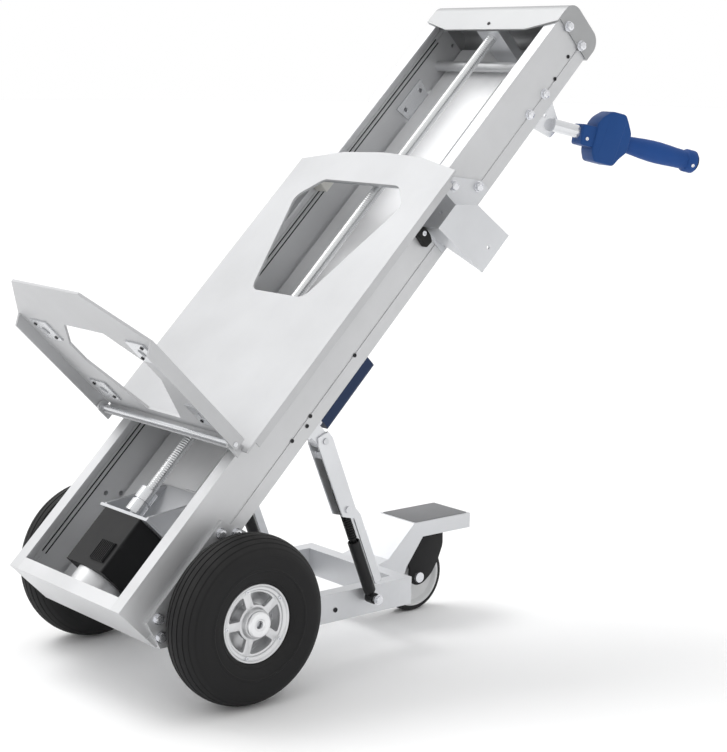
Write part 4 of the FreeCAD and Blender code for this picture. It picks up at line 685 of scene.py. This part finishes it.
def spoked_disc(name, place, x_low, x_high):
    """The rim's spoked face, cut from one flat outline with five rounded windows and a bore."""
    flat = bpy.data.curves.new(name, "CURVE")
    flat.dimensions = "2D"
    flat.fill_mode = "BOTH"
    flat.extrude = (x_high - x_low) / 2 * MM - SPOKE_ROUND
    flat.bevel_depth = SPOKE_ROUND
    flat.bevel_resolution = 1

    def loop(points):
        line = flat.splines.new("POLY")
        line.points.add(len(points) - 1)
        for spot, (a, b) in zip(line.points, points):
            spot.co = (a * MM, b * MM, 0, 1)
        line.use_cyclic_u = True
    for radius, count in ((52, 90), (11, 40)):
        loop([(radius * math.cos(math.tau * k / count), radius * math.sin(math.tau * k / count))
              for k in range(count)])
    for window in range(SPOKES):
        middle = math.tau * window / SPOKES + math.radians(18)
        wide, narrow = math.radians(29), math.radians(23)
        outer = [(47.5 * math.cos(middle + wide * t), 47.5 * math.sin(middle + wide * t),
                  7 if abs(t) == 1 else 0)
                 for t in (-1, -0.6, -0.3, 0, 0.3, 0.6, 1)]
        inner = [(27 * math.cos(middle + narrow * t), 27 * math.sin(middle + narrow * t),
                  5 if abs(t) == 1 else 0)
                 for t in (1, 0.5, 0, -0.5, -1)]
        loop(softened(outer + inner, 0))
    holder = in_scene(name, flat)
    bpy.context.view_layer.update()
    mesh = bpy.data.meshes.new_from_object(holder.evaluated_get(bpy.context.evaluated_depsgraph_get()))
    bpy.data.objects.remove(holder)
    centre = place @ Matrix.Translation(((x_low + x_high) / 2 * MM, 0, 0))
    upright = centre @ Matrix.Rotation(math.radians(90), 4, "Y")
    mesh.transform(upright)
    return mesh


def one_mesh(name, *meshes):
    """Several shells joined into one mesh, with like corners merged."""
    shape = bmesh.new()
    for mesh in meshes:
        shape.from_mesh(mesh)
    bmesh.ops.remove_doubles(shape, verts=shape.verts, dist=1e-7)
    bmesh.ops.recalc_face_normals(shape, faces=shape.faces)
    return finished(shape, name, 32)


rim_metal = metal("rim_cast", (0.74, 0.745, 0.755), 0.36, lines=260.0, stretch=1.0, depth=0.15, edge=0.0012)
cap_face = metal("hub_cap", (0.84, 0.845, 0.855), 0.34, turn=ACROSS, lines=400.0, stretch=0.5, depth=0.2)
for name, side in (("left", -1), ("right", 1)):
    low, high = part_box(name + "_tyre")
    middle = (low + high) / 2
    place = Matrix.Translation(middle) @ Matrix.Rotation(0 if side > 0 else math.pi, 4, "Z")
    black = rubber(name + "_tyre_rubber", rings=2600.0, centre=middle)
    piece(name + "_tyre_ribbed", turned_mesh(name + "_tyre_ribbed", tyre_outline(), place, 160), black,
          name + "_wheel", [name + "_tyre"])
    flange = softened([(-29.5, 52), (-29.5, 59.8), (29.8, 59.8), (29.8, 57), (26.5, 55), (26.5, 50.5),
                       (22, 49), (14, 50), (14, 52)], 1.6)
    hub = softened([(-29.5, 10.2), (-29.5, 20), (17, 24), (26, 24), (31.8, 21.5), (31.8, 10.2)], 1.4)
    wall = [(-6, 19), (-6, 52.5), (-2, 52.5), (-2, 19)]
    rim = one_mesh(name + "_rim_cast", turned_mesh("flange", flange, place),
                   turned_mesh("hub", hub, place, 64),
                   turned_mesh("wall", wall, place), spoked_disc("spokes", place, 16, 23.5))
    piece(name + "_rim_cast", rim, rim_metal, name + "_wheel", [name + "_rim"])
    cap = softened([(32, 6), (32, 20.6), (35.5, 20.6), (38, 18), (38, 9.5), (36.5, 8), (36.5, 6)], 0.8)
    piece(name + "_hub_cap_turned", turned_mesh("cap", cap, place, 64), cap_face, name + "_wheel",
          [name + "_hub_cap"])
    ring = [place @ Vector((26.4 * MM, 53 * MM * math.cos(a), 53 * MM * math.sin(a)))
            for a in (math.tau * (k + 0.5) / SPOKES + math.radians(72) for k in range(SPOKES))]
    way = place.to_3x3() @ Vector((1, 0, 0))
    mesh = meshed(name + "_rim_screws", socket_screws, ring, [way] * SPOKES, bolt_metal,
                  {"Radius": 0.0029, "Height": 0.0022})
    piece(name + "_rim_screws", mesh, bolt_metal, name + "_wheel")


# ---------------- carriage
# The load plate is pale silk-anodised sheet with hemmed edges and a hand window. Behind it are two beams,
# nylon shoes that run in the rails, and the bronze nut on the screw.

sheet_metal = metal("load_sheet", (0.53, 0.535, 0.545), 0.5, lines=2600.0, stretch=0.05, depth=0.12,
                    spread=0.08, wear_and_highlight=0.8, metallic=0.35)
finish_nodes(sheet_metal, "carriage_plate", "toe_plate")
beam_metal = metal("beam_aluminium", (0.64, 0.65, 0.67), 0.4, turn=ACROSS)
finish_nodes(beam_metal, "carriage_lower_beam", "carriage_upper_beam")
bronze = metal("bronze", (0.55, 0.40, 0.22), 0.34, lines=900.0, stretch=8.0)
finish_nodes(bronze, "screw_nut")
nylon = moulded("nylon", (0.80, 0.79, 0.74), 0.5, bumps=500.0, depth=0.15)
finish_nodes(nylon, "slide_shoes")


# ---------------- toe plate
# The same sheet, folded down at its sides and hinge edge, with four plated corner pads and black screws.

pad_metal = metal("toe_pad_steel", (0.66, 0.67, 0.69), 0.28, turn=ACROSS, lines=700.0, stretch=0.2)
finish_nodes(pad_metal, "toe_pads", "toe_hinge_pin")
finish_nodes(black_screw, "toe_pad_screws")


# ---------------- castor base
# Welded aluminium bars and a folded foot pedal, with a swivel castor in a black pressed fork.

base_metal = metal("base_aluminium", (0.68, 0.69, 0.71), 0.42, turn=ALONG_FLOOR, lines=800.0, stretch=0.05,
                   depth=0.2, dust=0.12, metallic=0.6)
finish_nodes(base_metal, "left_base_arm", "right_base_arm", "base_cross_member", "foot_pedal_bracket")
mesh = meshed("arm_screws", socket_screws, [AXLE + Vector((s * 133, 235, -49)) * MM for s in (-1, 1)],
              [Vector((s, 0, 0)) for s in (-1, 1)], black_screw, {"Radius": 0.004, "Height": 0.0012})
piece("arm_screws", mesh, black_screw, "base")

pedal_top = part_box("foot_pedal_bracket")[1].z / MM


def prism(name, outline, low, high, place, axis="X", soft=0.0, steps=3):
    """A flat outline in mm made thick from low to high along the local X or Z axis, its rims rounded off."""
    shape = bmesh.new()

    def spot(a, b, c):
        return place @ (Vector((c, a, b)) * MM if axis == "X" else Vector((a, b, c)) * MM)
    bottom = [shape.verts.new(spot(a, b, low)) for a, b in outline]
    top = [shape.verts.new(spot(a, b, high)) for a, b in outline]
    shape.faces.new(list(reversed(bottom)))
    shape.faces.new(top)
    for k in range(len(outline)):
        j = (k + 1) % len(outline)
        shape.faces.new((bottom[k], bottom[j], top[j], top[k]))
    bmesh.ops.recalc_face_normals(shape, faces=shape.faces)
    if soft:
        rims = [e for e in shape.edges if all(v in bottom for v in e.verts) or all(v in top for v in e.verts)]
        bmesh.ops.bevel(shape, geom=rims, offset=soft * MM, segments=steps, profile=0.5, affect="EDGES")
    return finished(shape, name, 38)


TREAD_HALF, TREAD_NEAR, TREAD_FAR, TREAD_THICK = 44, 483 + AXLE.y / MM, 604 + AXLE.y / MM, 0.8
tread = softened([(-TREAD_HALF, TREAD_NEAR), (TREAD_HALF, TREAD_NEAR), (TREAD_HALF, TREAD_FAR),
                  (-TREAD_HALF, TREAD_FAR)], 4)
grit = moulded("pedal_grit", (0.21, 0.212, 0.218), 0.8, bumps=420.0, depth=0.9, wear_and_highlight=0.2)
sheet = prism("pedal_tread", tread, pedal_top, pedal_top + TREAD_THICK, Matrix.Identity(4), "Z", 0.3)
piece("pedal_tread", sheet, grit, "base")

fork_black = moulded("fork_black", (0.008, 0.008, 0.009), 0.5, bumps=700.0, depth=0.2)
KNUCKLE = Matrix.Translation(AXLE + Vector((0, 510, -67.5)) * MM)
LEAF = [(-3, -15), (-15, -9), (-21, 4), (-19, 15), (-22.5, 25), (-20, 40), (-11, 57), (0, 70), (10, 79.5),
        (56, 79.5), (57, 50),
        (46, 24), (32, 2), (12, -13)]
legs = [prism("leg", softened(LEAF, 7), low, low + 4, KNUCKLE, "X", 0.9) for low in (-23.5, 19.5)]
crown = prism("crown", softened([(-23.5, 4), (23.5, 4), (23.5, 56), (-23.5, 56)], 5), 75.5, 79.5, KNUCKLE,
              "Z", 0.8)
rings = [[(r * MM * math.cos(math.tau * k / 40), (28 + r * math.sin(math.tau * k / 40)) * MM,
           z * MM) for k in range(40)]
         for z, r in ((79, 24), (80, 25.6), (86, 25.6), (87, 22), (92, 22), (93, 25.6), (101.5, 25.6),
                      (102, 24))]
fork = one_mesh("castor_fork_pressed", *legs, crown, closed_rings("race", rings, KNUCKLE))
piece("castor_fork_pressed", fork, fork_black, "castor_swivel", ["castor_fork"])
finish_nodes(bolt_metal, "castor_bolt")
low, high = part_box("castor_tyre")
castor_middle = (low + high) / 2
castor_place = Matrix.Translation(castor_middle)
castor_rubber = rubber("castor_rubber", (0.013, 0.013, 0.014), 0.5, 3200.0, castor_middle)
outline = softened([(-15.8, 53.6), (-15.8, 58, 4), (-11.5, 62.4, 6), (11.5, 62.4, 6), (15.8, 58, 4),
                    (15.8, 53.6)], 0.4)
piece("castor_tread", turned_mesh("castor_tread", outline, castor_place, 96), castor_rubber, "castor_wheel",
      ["castor_tyre"])
core_grey = moulded("castor_core_grey", (0.66, 0.665, 0.67), 0.4, bumps=600.0, depth=0.12)
outline = softened([(-15.8, 6.2), (-15.8, 13), (-9, 17), (-9, 44), (-15.6, 49), (-15.6, 53.4), (15.6, 53.4),
                    (15.6, 49), (9, 44),
                    (9, 17), (15.8, 13), (15.8, 6.2)], 1.4)
piece("castor_core_moulded", turned_mesh("castor_core_moulded", outline, castor_place, 80), core_grey,
      "castor_wheel", ["castor_core"])


# ---------------- telescopic stays
# Pressed alloy plates pinned behind the rails guide a black tube that is hinged on the base.

stay_metal = metal("stay_aluminium", (0.70, 0.71, 0.73), 0.36, turn=(math.radians(22), 0, 0), lines=900.0,
                   stretch=0.05)
finish_nodes(stay_metal, "left_stay_fork", "right_stay_fork", "left_stay_bracket", "right_stay_bracket")
finish_nodes(axle_metal, "stay_top_pins")
tube_black = moulded("tube_black", (0.009, 0.009, 0.01), 0.4, bumps=900.0, depth=0.2, coat=0.1)
STAY_REACH, HEAD_ANGLE, STAY_TURN, STAY_SPAN, TUBE_START = 302, 51.3, 22.15 - 180, 294.2, 186
head = Vector((0, STAY_REACH * math.cos(math.radians(HEAD_ANGLE)),
               STAY_REACH * math.sin(math.radians(HEAD_ANGLE)))) * MM


def coil_rings(tree, enter):
    """One turn of the coil, as a short round bead."""
    return put(tree, "GeometryNodeMeshCylinder",
               {"Vertices": 16, "Radius": enter["Radius"], "Depth": enter["Height"]}).outputs["Mesh"]


def coil_tree():
    """The tree of the coil's turns."""
    return heads_tree("stay_coil", {"Radius": 0.0074, "Height": 0.0022}, coil_rings)


def round_bar(name, place, stations, steps=28):
    """A round bar along the local Z from (height, radius) stations in mm."""
    turns = [math.tau * k / steps for k in range(steps)]
    return closed_rings(name, [[(r * MM * math.cos(a), r * MM * math.sin(a), w * MM) for a in turns]
                               for w, r in stations], place)


COIL_START, COIL_STEP, COIL_TURNS = 20, 4.3, 38
black_spring = moulded("spring_black", (0.012, 0.012, 0.013), 0.3, bumps=900.0, depth=0.1)
for name, side in (("left", -1), ("right", 1)):
    pin = AXLE + head + Vector((side * 0.147, 0, 0))
    place = Matrix.Translation(pin) @ Matrix.Rotation(math.radians(STAY_TURN), 4, "X")
    pipe = round_bar("pipe", place,
                     [(TUBE_START + 30, 8.4), (TUBE_START, 8.4), (TUBE_START, 9.4), (TUBE_START + 0.8, 10),
                                     (STAY_SPAN - 14, 10), (STAY_SPAN - 8, 6)])
    foot = place @ Matrix.Translation((0, 0, STAY_SPAN * MM))
    across_foot = foot @ Matrix.Rotation(math.radians(90), 4, "Y")
    eye = round_bar("eye", across_foot, [(-8, 5.1), (-8, 9), (8, 9), (8, 5.1)])
    piece(name + "_stay_tube_drawn", one_mesh(name + "_stay_tube_drawn", pipe, eye), tube_black,
          name + "_stay_lower",
          [name + "_stay_tube"])
    rod = round_bar(name + "_stay_rod", place, [(14, 4.6), (TUBE_START + 6, 4.6)])
    piece(name + "_stay_rod", rod, black_spring, name + "_stay_upper")
    along = place.to_3x3() @ Vector((0, 0, 1))
    spots = [place @ Vector((0, 0, (COIL_START + COIL_STEP * k) * MM)) for k in range(COIL_TURNS)]
    mesh = meshed(name + "_stay_coil", coil_tree, spots, [along] * COIL_TURNS, black_spring, {})
    piece(name + "_stay_coil", mesh, black_spring, name + "_stay_upper")
mesh = meshed("stay_foot_nuts", hexagon_bolts,
              [AXLE + Vector((s * 163.4, 299.7, -36.8)) * MM for s in (-1, 1)],
              [Vector((s, 0, 0)) for s in (-1, 1)], bolt_metal,
              {"Radius": 0.007, "Height": 0.0034, "Washer Thick": 0.0006})
piece("stay_foot_nuts", mesh, bolt_metal, "base")


# ---------------- handles
# Each plated tube is welded to a triangular plate and carries a moulded blue pod, clamped by its collar, and
# a soft blue grip with a black end plug. The right-hand pod has the lift rocker on its inner face.

tube_metal = metal("handle_steel", (0.74, 0.75, 0.77), 0.22, lines=900.0, stretch=0.3, depth=0.15)
finish_nodes(tube_metal, "left_handle_tube", "right_handle_tube")
pod_blue = moulded("pod_blue", (0.007, 0.056, 0.215), 0.48, bumps=1100.0, depth=0.3, edge=0.0015)
grip_blue = moulded("grip_blue", (0.008, 0.058, 0.235), 0.58, bumps=650.0, depth=0.6, edge=0.0015)
plug_black = moulded("plug_black", (0.01, 0.01, 0.01), 0.5)
finish_nodes(plug_black, "lift_rocker")


def handle_place(side):
    """The frame of a handle: its Z runs out along the grip, and side is -1 or 1."""
    start = Matrix.Translation((side * 0.157, -0.034, 0.979))
    splay = Matrix.Rotation(math.radians(-side * 20), 4, "Z")
    droop = Matrix.Rotation(math.radians(-103), 4, "X")
    return RAIL_PLACE @ start @ Matrix.Rotation(LEAN, 4, "X") @ splay @ droop


def inset(outline, distance):
    """A rounded closed outline moved inwards along its own normals."""
    points = [Vector(p) for p in outline]
    area = sum(a.x * b.y - b.x * a.y for a, b in zip(points, points[1:] + points[:1]))
    out = []
    for k, here in enumerate(points):
        way = (points[(k + 1) % len(points)] - points[k - 1]).normalized()
        inward = Vector((-way.y, way.x)) * (1 if area > 0 else -1)
        out.append(here + inward * distance)
    return out


def cushion(name, outline, low, high, place, soft, steps=4):
    """An outline in the local YZ plane made thick along X, with its two rims rolled over."""
    rings = []
    turns = [math.pi / 2 * k / steps for k in range(steps + 1)]
    for x_edge, way, angles in ((low, 1, turns), (high, -1, list(reversed(turns)))):
        for angle in angles:
            x = x_edge + way * soft * (1 - math.cos(angle))
            rings.append([(x * MM, a * MM, b * MM) for a, b in inset(outline, soft * (1 - math.sin(angle)))])
    return closed_rings(name, rings, place, 30)


GRIP = [(138, 13.2), (138.8, 14.2), (146, 14.6), (160, 15.8), (176, 17.4), (192, 18.4), (206, 18.6),
        (222, 17.9), (238, 16.9),
        (252, 16.4), (257.5, 16.6), (259, 18.8), (260.5, 19.6), (275, 19.6), (276.6, 19), (277, 17.5)]
POD_BODY = [(72, 20), (79, 33), (94, 46), (120, 46), (130, 31), (137.8, 17), (137.8, -14), (125, -29),
            (117, -43), (80, -43),
            (72, -26)]
POD_COLLAR = [(47.2, 14), (75, 15), (75, -21), (50, -21)]
for name, side in (("left", -1), ("right", 1)):
    place = handle_place(side)
    flip = place @ Matrix.Rotation(math.radians(180), 4, "Z")
    body = cushion("pod_body", softened([(v, w) for w, v in POD_BODY], 5), -22.6, 22.6, flip, 3.6)
    ridge = cushion("pod_ridge",
                    softened([(34, 92), (40, 97), (40, 117), (33, 122), (-34, 116), (-37, 111), (-37, 86),
                              (-33, 82)], 3),
                    -23, 23, flip, 0.9, 2)
    collar = cushion("pod_collar", softened([(v, w) for w, v in POD_COLLAR], 4.5), -19, 19, flip, 3)
    piece(name + "_pod_moulded", one_mesh(name + "_pod_moulded", body, ridge, collar), pod_blue, "frame",
          [name + "_handle_pod"])
    piece(name + "_grip_moulded", round_bar(name + "_grip_moulded", place, GRIP, 48), grip_blue, "frame",
          [name + "_grip"])
    plug = round_bar(name + "_plug_moulded", place,
                     [(276.8, 15.8), (279.8, 15.8), (280.8, 14.8), (280.8, 9), (279.5, 8), (279.5, 3)], 36)
    piece(name + "_plug_moulded", plug, plug_black, "frame", [name + "_grip_plug"])
    out = place.to_3x3() @ Vector((side, 0, 0))
    low_out = place.to_3x3() @ Vector((side * math.cos(math.radians(20)), math.sin(math.radians(20)), 0))
    spots = [place @ (Vector((side * 18.9, 9, 59)) * MM), place @ (Vector((side * 18.3, 6.7, 268)) * MM)]
    mesh = meshed(name + "_clamp_screws", socket_screws, spots, [out, low_out], bolt_metal,
                  {"Radius": 0.003, "Height": 0.0014})
    piece(name + "_clamp_screws", mesh, bolt_metal, "frame",
          ["clamp_screws"] if side > 0 else ())


# ---------------- battery pack and side bracket
# The battery is a dark blue moulded case strapped behind the rails. The side bracket is folded sheet.

battery_blue = moulded("battery_blue", (0.009, 0.025, 0.075), 0.45, bumps=900.0, depth=0.3)
finish_nodes(battery_blue, "battery_pack")
bracket_sheet = metal("side_bracket_sheet", (0.66, 0.67, 0.69), 0.42, lines=1500.0, stretch=0.2, depth=0.2)
finish_nodes(bracket_sheet, "side_bracket")


strips = []
for side in (-1, 1):
    for depth in (115, 123):
        flat = softened([(-depth - 1.2, -60), (-depth + 1.2, -60), (-depth + 1.2, 1090),
                         (-depth - 1.2, 1090)], 0.2)
        low, high = sorted((side * 153.85, side * 155.1))
        strips.append(prism("strip", flat, low, high, RAIL_PLACE))
piece("track_strips", one_mesh("track_strips", *strips), plug_black, "frame")
flat = softened([(-135, 644), (-103, 641), (-101, 656), (-112, 661.5), (-132, 661.5)], 3)
piece("side_stop", prism("side_stop", flat, 158.1, 170, RAIL_PLACE, "X", 1.2), plug_black, "frame")
mesh = meshed("side_stop_screw", socket_screws, [on_rails(170, 653, 124)], [Vector((1, 0, 0))], bolt_metal,
              {"Radius": 0.0042, "Height": 0.002})
piece("side_stop_screw", mesh, bolt_metal, "frame")
